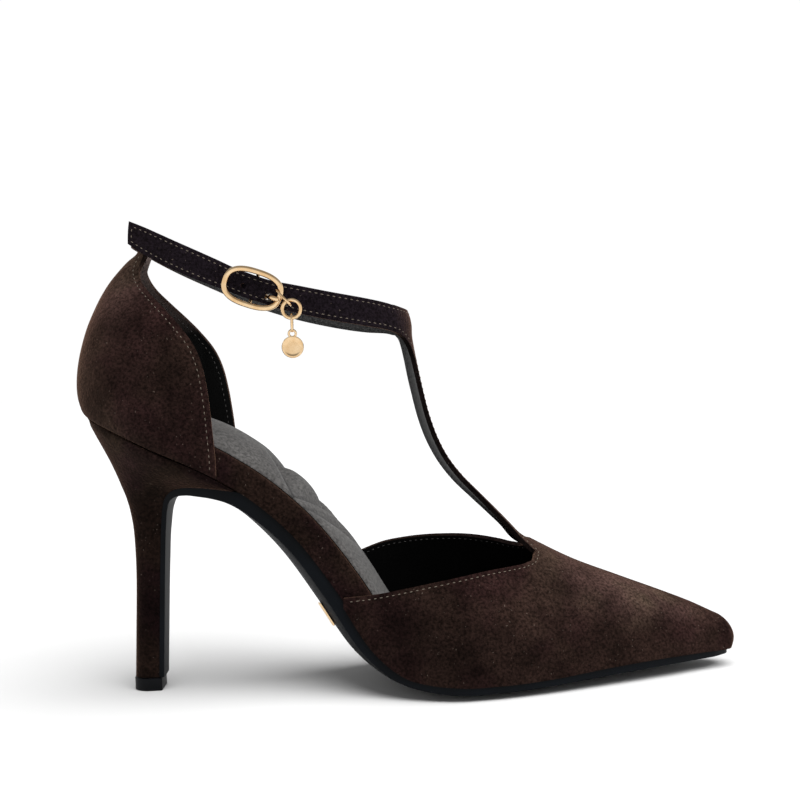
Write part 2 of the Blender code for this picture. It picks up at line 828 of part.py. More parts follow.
def make_footbed(look):
    """Make the insole board with rounded upper edges."""
    loops = []
    for x in bed_stations(FOOTBED_BACK, FOOTBED_END):
        thickness, inset = footbed_size(x)
        normal = bed_normal(x)
        shoulder = min(FOOTBED_ROUND, ROUND_SHARE_UP * thickness)
        base = np.array((x, 0.0, float(seat_z(x))))
        loop = []
        for side, order in ((LATERAL, 1), (MEDIAL, -1)):
            outer = edge_y(x, side, inset, FOOTBED_END)
            inner = outer - side * min(shoulder, ROUND_SHARE_OUT * abs(outer))
            levels = ((0.0, outer), (thickness - shoulder, outer), (thickness, inner))
            for height, y in levels[::order]:
                loop.append(base + np.array((normal[0] * height, y, normal[1] * height)))
        loops.append(loop)
    return loft("footbed", loops, look)


def make_insole(look):
    """Make the padded sock on the footbed."""
    edge_of = smooth(INSOLE["x"], INSOLE["edge"])
    crown_of = smooth(INSOLE["x"], INSOLE["crown"])
    loops = []
    for x in bed_stations(INSOLE_BACK, INSOLE_END):
        thickness, inset = footbed_size(x)
        normal = bed_normal(x)
        sides = [edge_y(x, side, inset + INSOLE_INSET, INSOLE_END) for side in (LATERAL, MEDIAL)]
        low = thickness + GAP
        levels = [(side, low) for side in sides]
        for across in np.linspace(1, -1, INSOLE_ACROSS):
            y = (sides[0] + sides[1]) / 2 + across * (sides[1] - sides[0]) / 2
            crown = float(crown_of(x)) * (1 - across * across)
            levels.append((y, low + float(edge_of(x)) + crown))
        base = float(seat_z(x))
        loops.append([(x + normal[0] * height, y, base + normal[1] * height) for y, height in levels])
    return loft("insole", loops, look)


def heel_plan(half, front_half, plan_round):
    """Return the half widths of a heel's section at shares of its length, from the back."""
    plan = []
    for turn in np.linspace(0, math.pi / 2, HEEL_SIDE):
        share = 1 - math.cos(turn)
        flare = max(share - PLAN_FLARE, 0.0) / (1 - PLAN_FLARE)
        plan.append((share, half * round_end(share, plan_round) + (front_half - half) * flare))
    return plan


def heel_loop(row):
    """Return one loop of the heel, from its front corner round the back to the other one."""
    back_x, back_z, front_x, front_z, half, front_half = (column[row] for column in HEEL.values())
    top = row == len(HEEL["back_x"]) - 1
    plan_round = HEEL_ROUND / (front_x - back_x) if top else PLAN_ROUND
    side = []
    for share, width in heel_plan(half, front_half, plan_round):
        x = back_x + (front_x - back_x) * share
        z = float(seat_z(x)) - GAP if top else back_z + (front_z - back_z) * share
        side.append((x, width, z))
    lateral = [(x, -y, z) for x, y, z in reversed(side)]
    return lateral + side[1:]


def make_heel(look):
    """Make the heel from its tip up to the seat."""
    loops = [heel_loop(row) for row in range(len(HEEL["back_x"]))]
    count = len(loops[0])
    points = [point for loop in loops for point in loop]
    faces = []
    for i in range(len(loops) - 1):
        for j in range(count):
            k = (j + 1) % count
            faces.append((i * count + j, i * count + k, (i + 1) * count + k, (i + 1) * count + j))
    for first in (0, len(points) - count):
        for j in range(count // 2):
            ends = (first + j, first + j + 1, first + count - 2 - j, first + count - 1 - j)
            faces.append(tuple(dict.fromkeys(ends)))
    return close_outward(add_object("heel", points, faces, look))


def make_top_piece(look):
    """Make the flat tip under the heel."""
    sections = heel_plan(TIP_HALF, TIP_FRONT_HALF, PLAN_ROUND)
    side = [(TIP_BACK + (TIP_FRONT - TIP_BACK) * share, width) for share, width in sections]
    plan = [(x, -y) for x, y in reversed(side)] + side[1:]
    loops = [[(x, y, z) for x, y in plan] for z in (0.0, TIP_HEIGHT)]
    return loft("top_piece", loops, look)


# The metal

def frame_path():
    """Return the buckle frame's rounded-oval centre line, in its own X and Z."""
    path = []
    for turn in np.arange(FRAME_POINTS) * 2 * math.pi / FRAME_POINTS:
        c, s = math.cos(turn), math.sin(turn)
        along = math.copysign(abs(c) ** (2 / FRAME_POWER), c) * FRAME_HALF_LENGTH
        up = math.copysign(abs(s) ** (2 / FRAME_POWER), s) * FRAME_HALF_HEIGHT
        path.append((along, 0.0, up))
    return path


def buckle_to_world(along, up, out=0.0):
    """Return the shoe's coordinates of a point of the buckle."""
    tilt = math.radians(BUCKLE_TILT)
    x = BUCKLE_AT[0] + along * math.cos(tilt) + up * math.sin(tilt)
    z = BUCKLE_AT[2] - along * math.sin(tilt) + up * math.cos(tilt)
    return np.array((x, BUCKLE_AT[1] - out, z))


def place_on_buckle(made):
    """Turn and move an object made in the buckle's own axes."""
    made.location = Vector(BUCKLE_AT) * MM
    made.rotation_euler = (0.0, math.radians(BUCKLE_TILT), 0.0)


def make_buckle(look):
    """Make the oval frame with the centre bar that dips behind the strap."""
    frame = loft("buckle", tube_loops(frame_path(), FRAME_WIRE, (0, 1, 0), closed=True), look, joined=True)
    upper = [(0.0, BAR_DEPTH * depth, BAR_HALF * up) for depth, up in zip(*BAR_BENDS.values())]
    path = upper + [(0.0, BAR_DEPTH, 0.0)] + [(x, y, -z) for x, y, z in reversed(upper)]
    bar = loft("centre_bar", tube_loops(path, (BAR_RADIUS, BAR_RADIUS), (1, 0, 0)), look)
    place_on_buckle(frame)
    place_on_buckle(bar)
    boolean(frame, bar, "UNION")
    return frame


def make_prong(look):
    """Make the tongue that comes through the strap's hole and rests on the frame's front bar."""
    route = smooth_path(np.column_stack((PRONG_PATH["along"], PRONG_PATH["out"])))
    path = []
    for at in np.linspace(0, 1, PRONG_STATIONS):
        along, out = route(at)
        path.append((along, -out, PRONG_DROP))
    made = loft("prong", tube_loops(path, (PRONG_RADIUS, PRONG_RADIUS), (0, 0, 1)), look)
    place_on_buckle(made)
    return made


def punch_holes(vamp, look):
    """Punch the strap's holes."""
    for name, (along, up, radius) in (("prong_hole", PRONG_HOLE), ("spare_hole", SPARE_HOLE)):
        ends = [buckle_to_world(along, up, out) for out in PUNCH_OUT]
        tool = loft(name, tube_loops(ends, (radius, radius), (1, 0, 0), HOLE_SIDES), look)
        boolean(vamp, tool, "DIFFERENCE")


def link_ends():
    """Return the frame bar's and the ring wire's centres where the first link holds them."""
    bar = buckle_to_world(*LINK_BAR)
    turn = math.radians(RING_LINK_ANGLE)
    wire = np.array(RING_CENTRE) + RING_RADIUS * np.array((math.cos(turn), 0.0, math.sin(turn)))
    return bar, wire


def link_way():
    """Return the first link's long and short directions."""
    bar, wire = link_ends()
    way = (wire - bar) / np.linalg.norm(wire - bar)
    short = np.array((0.0, 1.0, 0.0)) - way * way[1]
    return way, short / np.linalg.norm(short)


def half_round(centre, radius, way, side):
    """Return points of a half circle that bulges along a way."""
    turns = np.radians(np.linspace(-90, 90, LINK_END_POINTS))
    return [centre + radius * (math.cos(turn) * way + math.sin(turn) * side) for turn in turns]


def make_first_link(look):
    """Make the small link round the frame's front bar and the ring."""
    bar, wire = link_ends()
    way, short = link_way()
    top = bar - way * (FRAME_WIRE[0] + LINK_PLAY + LINK_WIRE - LINK_TOP_HALF)
    low = wire + way * (RING_WIRE + LINK_PLAY + LINK_WIRE - LINK_LOW_HALF)
    path = half_round(low, LINK_LOW_HALF, way, short) + half_round(top, LINK_TOP_HALF, -way, -short)
    loops = tube_loops(path, (LINK_WIRE, LINK_WIRE), np.cross(way, short), closed=True)
    return loft("first_link", loops, look, joined=True)


def ring_pivot():
    """Return the point about which the ring swings: above its centre, at the first link's lower end."""
    wire = link_ends()[1]
    low = wire + link_way()[0] * (RING_WIRE + LINK_PLAY + LINK_WIRE)
    return (RING_CENTRE[0], RING_CENTRE[1], float(low[2]))


def make_charm_ring(look):
    """Make the large ring."""
    path = oval(RING_CENTRE, (RING_RADIUS, 0, 0), (0, 0, RING_RADIUS), ROUND_SIDES)
    loops = tube_loops(path, (RING_WIRE, RING_WIRE), (0, 1, 0), closed=True)
    return loft("charm_ring", loops, look, joined=True, origin=ring_pivot())


def make_charm(look):
    """Make the small link with its bail and plain disc."""
    x, y, wire_z = np.array(RING_CENTRE) - (0.0, 0.0, RING_RADIUS)
    top = wire_z + RING_WIRE + GAP + CHARM_WIRE
    low = top - CHARM_LINK_LENGTH
    pivot = (x, y, wire_z)
    link_centre = (x, y, (top + low) / 2)
    link_half = (0, CHARM_LINK_HALF + CHARM_WIRE, 0)
    link_path = oval(link_centre, (0, 0, (top - low) / 2), link_half, LINK_POINTS)
    link_loops = tube_loops(link_path, (CHARM_WIRE, CHARM_WIRE), (1, 0, 0), closed=True)
    made = loft("charm", link_loops, look, joined=True, origin=pivot)
    bail_z = low - BAIL_RADIUS + CHARM_WIRE
    bail_path = oval((x, y, bail_z), (BAIL_RADIUS, 0, 0), (0, 0, BAIL_RADIUS), BAIL_POINTS)
    bail_loops = tube_loops(bail_path, (CHARM_WIRE, CHARM_WIRE), (0, 1, 0), closed=True)
    bail = loft("bail", bail_loops, look, joined=True)
    disc_z = bail_z - BAIL_RADIUS - DISC_RADIUS + CHARM_WIRE
    ends = [(x, y + side * DISC_THICKNESS / 2, disc_z) for side in (-1, 1)]
    disc = loft("disc", tube_loops(ends, (DISC_RADIUS, DISC_RADIUS), (0, 0, 1), ROUND_SIDES), look)
    boolean(made, bail, "UNION")
    boolean(made, disc, "UNION")
    return made


def make_badge(look):
    """Make the small plain plate under the arch, bent to the sole."""
    stations = sole_path()
    normals = sole_normals(stations)
    run = (stations[:, 0] < BADGE_X[1] + BADGE_MARGIN) & (stations[:, 0] > BADGE_X[0] - BADGE_MARGIN)
    order = np.argsort(stations[run][:, 0])
    keys = stations[run][order][:, 0]
    station_at = [smooth(keys, column) for column in stations[run][order].T]
    normal_at = [smooth(keys, column) for column in normals[run][order].T]
    loops = []
    for x in np.linspace(*BADGE_X, BADGE_CELLS):
        station = [float(column(x)) for column in station_at]
        normal = [float(column(x)) for column in normal_at]
        spread = np.linspace(*BADGE_ACROSS, BADGE_CELLS)
        near = [sole_under(station, normal, across, GAP) for across in spread]
        far = [sole_under(station, normal, across, GAP + BADGE_HEIGHT) for across in reversed(spread)]
        loops.append(near + far)
    return loft("sole_badge", loops, look)


def parent_all():
    """Hang every piece from one empty that centres the shoe on the origin."""
    shoe = bpy.data.objects.new("shoe", None)
    shoe.location = Vector(CENTRE) * MM
    for piece in list(bpy.context.collection.objects):
        piece.parent = shoe
    bpy.context.collection.objects.link(shoe)


def build():
    """Make every piece of the shoe."""
    for old in list(bpy.data.objects):
        bpy.data.objects.remove(old)
    suede = material("suede", (0.030, 0.018, 0.014), 0.95)
    leather = material("sole_leather", (0.012, 0.013, 0.016), 0.45)
    sock = material("sock", (0.130, 0.115, 0.105), 0.8)
    rubber = material("rubber", (0.008, 0.008, 0.009), 0.6)
    gold = material("gold", (0.80, 0.55, 0.28), 0.22, 1.0)
    vamp = make_vamp(suede)
    make_counter(suede)
    make_footbed(suede)
    make_insole(sock)
    make_outsole(leather)
    make_heel(suede)
    make_top_piece(rubber)
    make_buckle(gold)
    make_prong(gold)
    punch_holes(vamp, suede)
    make_first_link(gold)
    make_charm_ring(gold)
    make_charm(gold)
    make_badge(gold)
    parent_all()


build()
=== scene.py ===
"""Looks of a right heeled shoe: suede upper, padded sock, black sole and gold metal on a white floor.

Sizes are millimetres in the shoe's own frame, as in the part's source, and meshes are made in metres.
"""
import math

import bpy
import bmesh
import numpy as np
from mathutils import Matrix, Vector
from mathutils.bvhtree import BVHTree


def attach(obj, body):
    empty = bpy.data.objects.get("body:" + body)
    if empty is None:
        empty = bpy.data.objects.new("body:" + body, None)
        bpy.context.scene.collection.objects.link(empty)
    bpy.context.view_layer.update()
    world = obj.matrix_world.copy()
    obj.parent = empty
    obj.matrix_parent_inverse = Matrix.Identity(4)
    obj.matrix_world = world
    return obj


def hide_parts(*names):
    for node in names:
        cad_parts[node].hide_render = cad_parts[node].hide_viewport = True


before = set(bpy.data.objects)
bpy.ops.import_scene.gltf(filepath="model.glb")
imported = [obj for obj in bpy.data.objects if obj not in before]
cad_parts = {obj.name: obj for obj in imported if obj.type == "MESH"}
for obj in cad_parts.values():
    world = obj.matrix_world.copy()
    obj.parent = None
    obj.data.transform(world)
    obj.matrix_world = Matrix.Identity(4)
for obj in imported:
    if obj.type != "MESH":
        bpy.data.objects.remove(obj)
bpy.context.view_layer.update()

MM = 0.001
GAP = 0.3
LATERAL = -1
MEDIAL = 1
CENTRE = np.array((-0.46, 0.04, 0.0))
HALVINGS = 40
SHARP_ANGLE = 40.0
BEVEL_ANGLE = 50.0
BEVEL_SEGMENTS = 3
NEAR_POINT = 0.05
SAME_PLACE = 1e-6


def table(names, *rows):
    """Return the named columns of a table."""
    return dict(zip(names.split(), np.array(rows, float).T))


# The last: bottom line, outline, middle line and ridge, and the upper's lap over the sole's edge

BOTTOM = table(
    "x z",
    (-112, 97.1),
    (-88, 86.0),
    (-63, 73.7),
    (-50, 64.6),
    (-36.5, 51.4),
    (-24.5, 34.8),
    (-14, 18.6),
    (-5, 10.6),
    (5, 7.0),
    (14, 5.8),
    (29, 5.3),
    (47, 5.5),
    (65, 6.2),
    (85, 6.6),
    (116, 6.1),
)
OUTLINE = table(
    "x lateral medial",
    (-73, 24.3, 24.3),
    (-62, 23.2, 22.6),
    (-45, 21.9, 20.2),
    (-28, 23.6, 20.6),
    (-12, 28.4, 25.4),
    (3, 34.0, 31.5),
    (14, 36.3, 35.0),
    (26, 35.2, 36.3),
    (42, 31.2, 34.0),
    (60, 24.9, 28.8),
    (78, 17.8, 22.0),
    (92, 11.7, 15.9),
    (100, 7.7, 12.7),
    (109, 3.7, 9.3),
)
MIDLINE = table("x y", (30, 0.0), (60, 0.6), (85, 1.8), (109, 2.8))
RIDGE = table(
    "x z",
    (-30, 96.0),
    (0, 73.0),
    (20, 61.5),
    (43.2, 47.5),
    (56.8, 40.2),
    (73.4, 33.3),
    (90.1, 26.6),
    (98.4, 23.1),
    (109, 18.0),
)
FEATHER_LAP = table(
    "x lap",
    (-26, 1.8),
    (-14, 2.2),
    (-2, 1.9),
    (8, 1.2),
    (20, 0.9),
    (40, 0.6),
    (70, 0.0),
    (109, 0.0),
)
HEEL_BACK = -110.2
HEEL_ROUND = 38.0
TOE_ROUND = 8.0
NOSE_AXIS = 109.0
NOSE_TAPER = 0.47
NOSE_SLOPE = -0.65
NOSE_TUCK = 0.4
NOSE_BULGE = 0.1
NOSE_DROP = 0.2
NOSE_STRETCH = 1.12
NOSE_TURNS = np.linspace(85, 5, 17)
ARCH_OUT = (1.0, 1.03, 0.62, 0.0)
ARCH_UP = (0.0, 0.5, 1.0, 1.0)

# The front upper: toplines of the vamp, T-strap and ankle band

VAMP_WALL = 1.6
VAMP_ROUND = 0.4
THROAT_X = 43.2
THROAT_RUN = (38.5, 48)
THROAT_CORNER = np.arange(39.0, 43.1, 0.5)
TOE_STATIONS = 56
WALL_ROWS = 30
LATERAL_TOP = table(
    "x z",
    (-22.6, 33.2),
    (-13.5, 34.3),
    (5, 37.8),
    (15, 39.5),
    (26, 40.9),
    (34, 41.4),
    (39.3, 41.9),
    (42.2, 43.1),
    (43.2, 44.8),
)
MEDIAL_TOP = table(
    "x z",
    (-26.2, 39.2),
    (-16.6, 42.8),
    (-9.5, 45.2),
    (0, 46.6),
    (13, 47.1),
    (25, 46.6),
    (34, 45.2),
    (39.3, 44.1),
    (42.2, 44.2),
    (43.2, 45.2),
)
STRAP_COLUMNS = 10
STRAP_STEPS = 5
STRAP_LEAD = 3.0
T_STRAP = table(
    "x z half_width sag lean",
    (41.8, 48.4, 9.4, 1.7, 0.9),
    (39.3, 50.4, 7.3, 1.3, 1.3),
    (36.2, 53.7, 6.5, 1.0, 1.1),
    (31.3, 59.2, 6.1, 1.0, 1.4),
    (25.7, 65.3, 6.0, 1.0, 1.8),
    (20.2, 71.3, 6.0, 1.0, 2.1),
    (15.4, 78.0, 6.0, 1.0, 2.2),
    (12.1, 85.0, 6.0, 1.0, 2.4),
    (9.7, 92.5, 6.0, 1.0, 2.5),
    (8.0, 100.0, 6.0, 1.0, 2.5),
    (6.7, 107.0, 6.0, 1.1, 2.5),
    (5.7, 113.2, 6.2, 1.5, 2.2),
    (4.9, 117.4, 7.2, 2.2, 1.6),
    (4.3, 119.8, 8.8, 3.2, 0.8),
    (4.0, 121.4, 11.2, 4.9, 0.2),
)
BAND_FRONT = 7.4
BAND_SIDE = 9.7
ARM_END_CUT = 0.93
ARM_LEAN = 0.05
ARM_STEP = 0.005
ARM_SETTLE = 0.12
LATERAL_END_SLANT = 0.9
ANKLE_X = -45.0
BAND_ROWS = 10
BAND_LEAD = 2
BAND_LEAN = -1.3
BAND_BULGE = 0.45
ARM_BULGE = 0.15
LATERAL_ARM = table(
    "x y z half_width",
    (-4.6, -13.4, 126.3, 4.6),
    (-12, -17.8, 127.8, 4.6),
    (-24, -21.8, 130.1, 4.6),
    (-37, -24.1, 133.1, 4.4),
    (-43.5, -24.6, 134.9, 4.0),
    (-50, -24.7, 137.2, 4.0),
    (-56, -24.4, 139.7, 4.0),
    (-62, -23.9, 142.4, 4.3),
    (-76, -21.2, 149.2, 4.4),
    (-90.2, -16.7, 157.0, 3.8),
)
MEDIAL_ARM = table(
    "x y z half_width",
    (-4.6, 13.4, 125.9, 4.6),
    (-12, 17.8, 126.9, 4.6),
    (-24, 21.8, 129.3, 4.6),
    (-38, 24.0, 133.0, 4.6),
    (-52, 24.0, 138.0, 4.6),
    (-66, 22.3, 144.4, 4.6),
    (-79, 18.2, 150.6, 4.5),
    (-87.6, 12.0, 155.0, 4.2),
    (-91.8, 4.0, 157.1, 4.0),
    (-91.8, -4.0, 157.1, 3.8),
    (-87.6, -12.0, 155.0, 3.8),
    (-79, -17.7, 150.6, 4.1),
    (-66, -20.9, 144.4, 4.0),
    (-56, -21.2, 139.9, 3.5),
    (-46.5, -20.6, 136.0, 3.5),
)
LATERAL_ARM_STATIONS = 90
MEDIAL_ARM_STATIONS = 170

# Soft creases of the upper: place and direction in side view, half sizes and height

SPOT_FADE = 3.0
CREASES = table(
    "x z turn length width height side",
    (92, 15.8, 7, 17, 3.4, -0.35, LATERAL),
    (92, 15.8, 7, 17, 3.4, -0.30, MEDIAL),
    (84, 24.5, -22, 15, 3.6, 0.18, LATERAL),
    (22, 29.0, -62, 10, 4.5, -0.22, LATERAL),
    (34, 26.0, -58, 11, 4.0, 0.16, LATERAL),
    (22, 30.0, -62, 10, 4.5, -0.20, MEDIAL),
)

# Brushed nap and painted light: soft spots in the same columns, with the change of brightness as height;
# the bright spots on the toe ridge and the counter top are painted highlights, and the dark spots low on
# the vamp, toe and heel are painted shade

NAP_AND_LIGHT_TOP = 3.0
NAP_AND_LIGHT_PALE = (2.8, 3.4, 3.1)
NAP_AND_PAINTED_LIGHT = table(
    "x z turn length width height side",
    # Painted shade low on the vamp, toe and heel, and painted highlights on the toe ridge, vamp top and
    # counter top
    (0, 20, -20, 20, 12, -0.42, LATERAL),
    (28, 10, 3, 30, 5, -0.20, LATERAL),
    (94, 16, 7, 18, 4, -0.45, LATERAL),
    (80, 29, -20, 24, 9, 2.00, LATERAL),
    (58, 38, -25, 16, 7, 0.60, LATERAL),
    (44, 24, 15, 13, 9, 0.12, LATERAL),
    (-94, 141, 55, 16, 9, 1.80, LATERAL),
    (-109, 108, 80, 16, 5, 0.40, LATERAL),
    (-76, 94, -60, 16, 10, -0.25, LATERAL),
    (-94, 84, -60, 16, 9, 1.10, LATERAL),
    (-78, 75, -25, 10, 4, 0.50, LATERAL),
    (-91, 38, 90, 30, 8, -0.25, LATERAL),
)

# The back upper: each row runs round the back from edge to edge

COUNTER_WALL = 2.0
COUNTER_ROUND = 0.5
COUNTER_COLUMNS = 56
COUNTER_STEPS = 6
COUNTER_MEDIAL_LEAD = 2.4
COUNTER_LEAD_ROWS = 7
COUNTER = table(
    "edge_x edge_z back_x back_z half_width",
    (-63.3, 74.2, -110.2, 96.4, 24.3),
    (-63.1, 80.0, -112.0, 99.4, 25.4),
    (-63.4, 87.0, -112.9, 104.0, 26.0),
    (-63.9, 95.0, -112.8, 109.6, 26.2),
    (-64.7, 103.2, -111.9, 115.5, 26.0),
    (-66.1, 111.4, -110.4, 121.3, 25.6),
    (-68.6, 118.2, -108.5, 126.9, 24.9),
    (-72.8, 124.4, -106.0, 132.4, 23.8),
    (-77.5, 129.8, -103.3, 137.5, 22.3),
    (-82.6, 135.2, -100.3, 142.0, 20.5),
    (-87.0, 140.4, -97.1, 145.8, 18.6),
    (-88.9, 145.2, -94.0, 149.0, 17.0),
    (-88.0, 149.4, -90.6, 152.0, 15.6),
    (-85.9, 155.0, -88.9, 157.2, 13.4),
)

# The bottom: sole, footbed and padded sock

SOLE_END = 111.8
SOLE_TOE_STEPS = (0.08, 0.3, 0.7, 1.3, 2.1, 3.1, 4.3, 5.7)
SOLE_RUN = (105, -52, 120)
SOLE_ACROSS = 25
SOLE_TOP_POINTS = 3
SOLE_ROUND = 0.35
BREAST_STEPS = 6
SOLE_SOFTNESS = 8.0
SEAM_LAP = 0.45
SOLE = table(
    "x edge crown inset",
    (-52, 4.4, 2.4, 1.8),
    (-36, 4.1, 4.2, 2.2),
    (-20, 4.2, 4.7, 1.9),
    (-6, 4.0, 4.0, 1.2),
    (6, 3.4, 3.2, 0.7),
    (14, 3.2, 2.9, 0.5),
    (29, 2.8, 2.7, 0.5),
    (47, 2.4, 2.2, 0.5),
    (70, 2.3, 1.6, 0.5),
    (92, 2.1, 1.0, 0.5),
    (112, 1.6, 0.4, 0.5),
)
BREAST = table(
    "x z edge crown half_width",
    (-55.5, 68.1, 4.4, 2.0, 20.4),
    (-60, 69.3, 3.7, 1.6, 19.4),
    (-65.5, 69.8, 2.8, 1.4, 17.6),
    (-71, 70.1, 2.4, 1.1, 15.2),
    (-76.5, 70.0, 2.1, 0.8, 12.4),
    (-80.4, 68.8, 1.8, 0.5, 10.2),
    (-82.6, 66.6, 1.5, 0.3, 8.5),
    (-83.6, 63.6, 1.3, 0.2, 7.2),
    (-84.5, 57.0, 1.2, 0.1, 6.0),
    (-85.4, 44.0, 1.2, 0.1, 5.3),
    (-86.4, 24.0, 1.2, 0.1, 5.0),
    (-87.3, 4.8, 1.2, 0.1, 4.9),
)
BED_SPACING = 2.0
BED_LENGTH_STEPS = 500
BED_SLOPE_STEP = 0.5
BED_HEEL_TURNS = np.arange(8, 70, 4)
BED_TOE_TURNS = np.arange(72, 8, -6)
FOOTBED_BACK = -107.4
FOOTBED_END = 104.0
FOOTBED_ROUND = 1.6
ROUND_SHARE_UP = 0.4
ROUND_SHARE_OUT = 0.3
ROUND_STEPS = 6
FOOTBED = table(
    "x thickness inset",
    (-107.4, 7.0, 1.7),
    (-66, 8.8, 1.1),
    (-59, 8.7, 0.9),
    (-36, 8.6, 0.9),
    (-26, 8.8, 1.4),
    (-14, 8.6, 1.4),
    (0, 6.0, 1.4),
    (14, 3.4, 1.4),
    (45, 2.6, 1.4),
    (104, 2.2, 1.4),
)
INSOLE_BACK = -104.0
INSOLE_END = 98.0
INSOLE_INSET = 2.3
INSOLE_ACROSS = 61
INSOLE_SPACING = 0.7
INSOLE_RIM = 0.1
INSOLE_LIFT = 0.1
INSOLE = table(
    "x edge crown",
    (-106, 0.8, 2.0),
    (-62, 0.9, 5.8),
    (-48, 0.9, 4.8),
    (-20, 0.9, 2.1),
    (10, 0.8, 1.2),
    (100, 0.7, 0.8),
)

# Seams of the padded sock, from its edges to its middle

SEAM_SHARE = 0.68
SEAM_WIDTH = 7.5
SEAM_LINE = 0.9
SEAMS = table(
    "edge_x middle_x",
    (-44.5, -53.2),
    (-45.0, -37.5),
    (-41.2, -31.4),
)

# The heel from its tip up to the seat, and the tip

HEEL = table(
    "back_x back_z front_x front_z half_width front_half",
    (-96.7, 4.7, -87.6, 4.7, 5.1, 4.6),
    (-96.0, 20.0, -86.9, 20.0, 5.1, 4.7),
    (-95.2, 40.0, -86.0, 40.0, 5.3, 4.9),
    (-95.4, 54.0, -85.1, 54.0, 5.8, 5.4),
    (-96.3, 61.5, -84.3, 61.0, 6.7, 6.2),
    (-97.5, 66.7, -83.3, 66.4, 8.4, 7.8),
    (-99.0, 71.0, -80.8, 69.2, 10.6, 9.8),
    (-100.7, 75.6, -76.7, 70.4, 13.4, 12.0),
    (-102.7, 80.4, -71.2, 70.5, 16.6, 14.8),
    (-104.8, 84.8, -65.6, 70.1, 19.6, 17.3),
    (-107.0, 89.2, -60.6, 69.6, 22.2, 19.2),
    (-108.8, 93.0, -58.0, 69.3, 23.6, 20.0),
    (-109.7, 95.7, -58.0, 70.5, 24.0, 20.6),
)
HEEL_SIDE = 26
HEEL_STEPS = 6
HEEL_EDGE_ROUND = 0.4
SEAT_GROOVE = 0.75
PLUG_INSET = 0.06
PLAN_ROUND = 0.62
PLAN_FLARE = 0.5
TIP_BACK = -97.0
TIP_FRONT = -86.9
TIP_HALF = 5.2
TIP_FRONT_HALF = 4.8
TIP_HEIGHT = 4.4
TIP_ROUND = 0.35

# The metal: buckle, prong, links, ring, charm and badge

WIRE_SIDES = 18
ROUND_SIDES = 72
BUCKLE_AT = (-48.5, -26.8, 136.2)
BUCKLE_TILT = 19.4
FRAME_HALF_LENGTH = 9.35
FRAME_HALF_HEIGHT = 5.65
FRAME_POWER = 2.6
FRAME_WIRE = (0.95, 0.85)
FRAME_POINTS = 120
BAR_RADIUS = 0.6
BAR_DEPTH = 4.55
BAR_HALF = 5.3
BAR_STEPS = 5
BAR_BENDS = table("depth up", (0.0, 1.06), (0.5, 1.0), (0.85, 0.95), (1.0, 0.82))
PRONG_RADIUS = 0.8
PRONG_DROP = -1.1
PRONG_STEPS = 5
PRONG_PATH = table(
    "along out",
    (1.2, -4.6),
    (4.2, -4.6),
    (5.4, -3.8),
    (5.8, -2.4),
    (6.1, -0.8),
    (6.9, 0.9),
    (8.3, 1.7),
    (9.65, 1.7),
)
PRONG_HOLE = (5.8, -1.1, 1.45)
SPARE_HOLE = (-3.3, 0.0, 0.9)
PUNCH_OUT = (2.0, -4.6)
HOLE_SIDES = 24
LINK_BAR = (9.35, 0.8)
LINK_WIRE = 0.42
LINK_TOP_HALF = 1.65
LINK_LOW_HALF = 2.05
LINK_END_POINTS = 24
LINK_POINTS = 48
LINK_PLAY = 0.75
RING_CENTRE = (-35.9, -28.8, 128.9)
RING_RADIUS = 2.95
RING_WIRE = 0.6
RING_LINK_ANGLE = 118.0
CHARM_LINK_LENGTH = 5.6
CHARM_LINK_HALF = 1.15
CHARM_WIRE = 0.4
BAIL_RADIUS = 1.15
DISC_RADIUS = 3.6
DISC_THICKNESS = 1.1
DISC_PROFILE = table(
    "radius height",
    (0.0, 0.55),
    (0.5, 0.58),
    (0.74, 0.62),
    (0.8, 0.92),
    (0.88, 1.0),
    (0.96, 0.86),
    (1.0, 0.4),
)
BADGE_X = (-24.4, -19.6)
BADGE_ACROSS = (-0.60, -0.38)
BADGE_HEIGHT = 0.7
BADGE_CELLS = 8
BADGE_MARGIN = 8.0
BADGE_ROUND = 0.2

# The sewing: rows along the edges

STITCH_PITCH = 2.05
STITCH_LENGTH = 1.2
STITCH_RADIUS = 0.16
STITCH_LIFT = 0.03
STITCH_SINK = 0.18
STITCH_END = 0.55
STITCH_LOOK = 0.3
STITCH_RINGS = 5
STITCH_SIDES = 6
VAMP_INSET = 1.35
COUNTER_INSET = 1.9
ROW_KEEP = 0.95

# The photograph's view, with the nearest depth in metres

FOCAL_PX = 1200.0
FRAME_PX = 800.0
SENSOR = 36.0
CLIP_START = 0.01
CAMERA_AT = (-9.26, -420.0, 104.6)
CAMERA_YAW_PX = 22.0
CAMERA_PITCH_PX = 20.0
CAMERA_ROLL = 2.0

# The studio: floor half size in metres, white walls up to a height, a dim ceiling and a broad light in it

FLOOR_HALF = 12.0
FLOOR_WHITE = 0.42
WALL_LIGHT = 1.02
WALL_TOP = 0.36
CEILING_START = 0.6
CEILING_SHARE = 0.35
TOP_LIGHT_WAY = (0.3, -0.3, 1.0)
TOP_LIGHT_SPREAD = 65.0
TOP_LIGHT = 7.6

# Looks: linear colours, noises as cells per metre, detail and roughness, bumps as strength and depth

NOISE_SPREAD = (0.3, 0.7)
NOISE_MIDDLE = (0.34, 0.66)
NOISE_CORE = (0.35, 0.65)
RED_BROWN = (0.0099, 0.0046, 0.0043)
OLIVE_BROWN = (0.0104, 0.0057, 0.0045)
STRAP_BROWN = (0.0045, 0.0032, 0.0045)
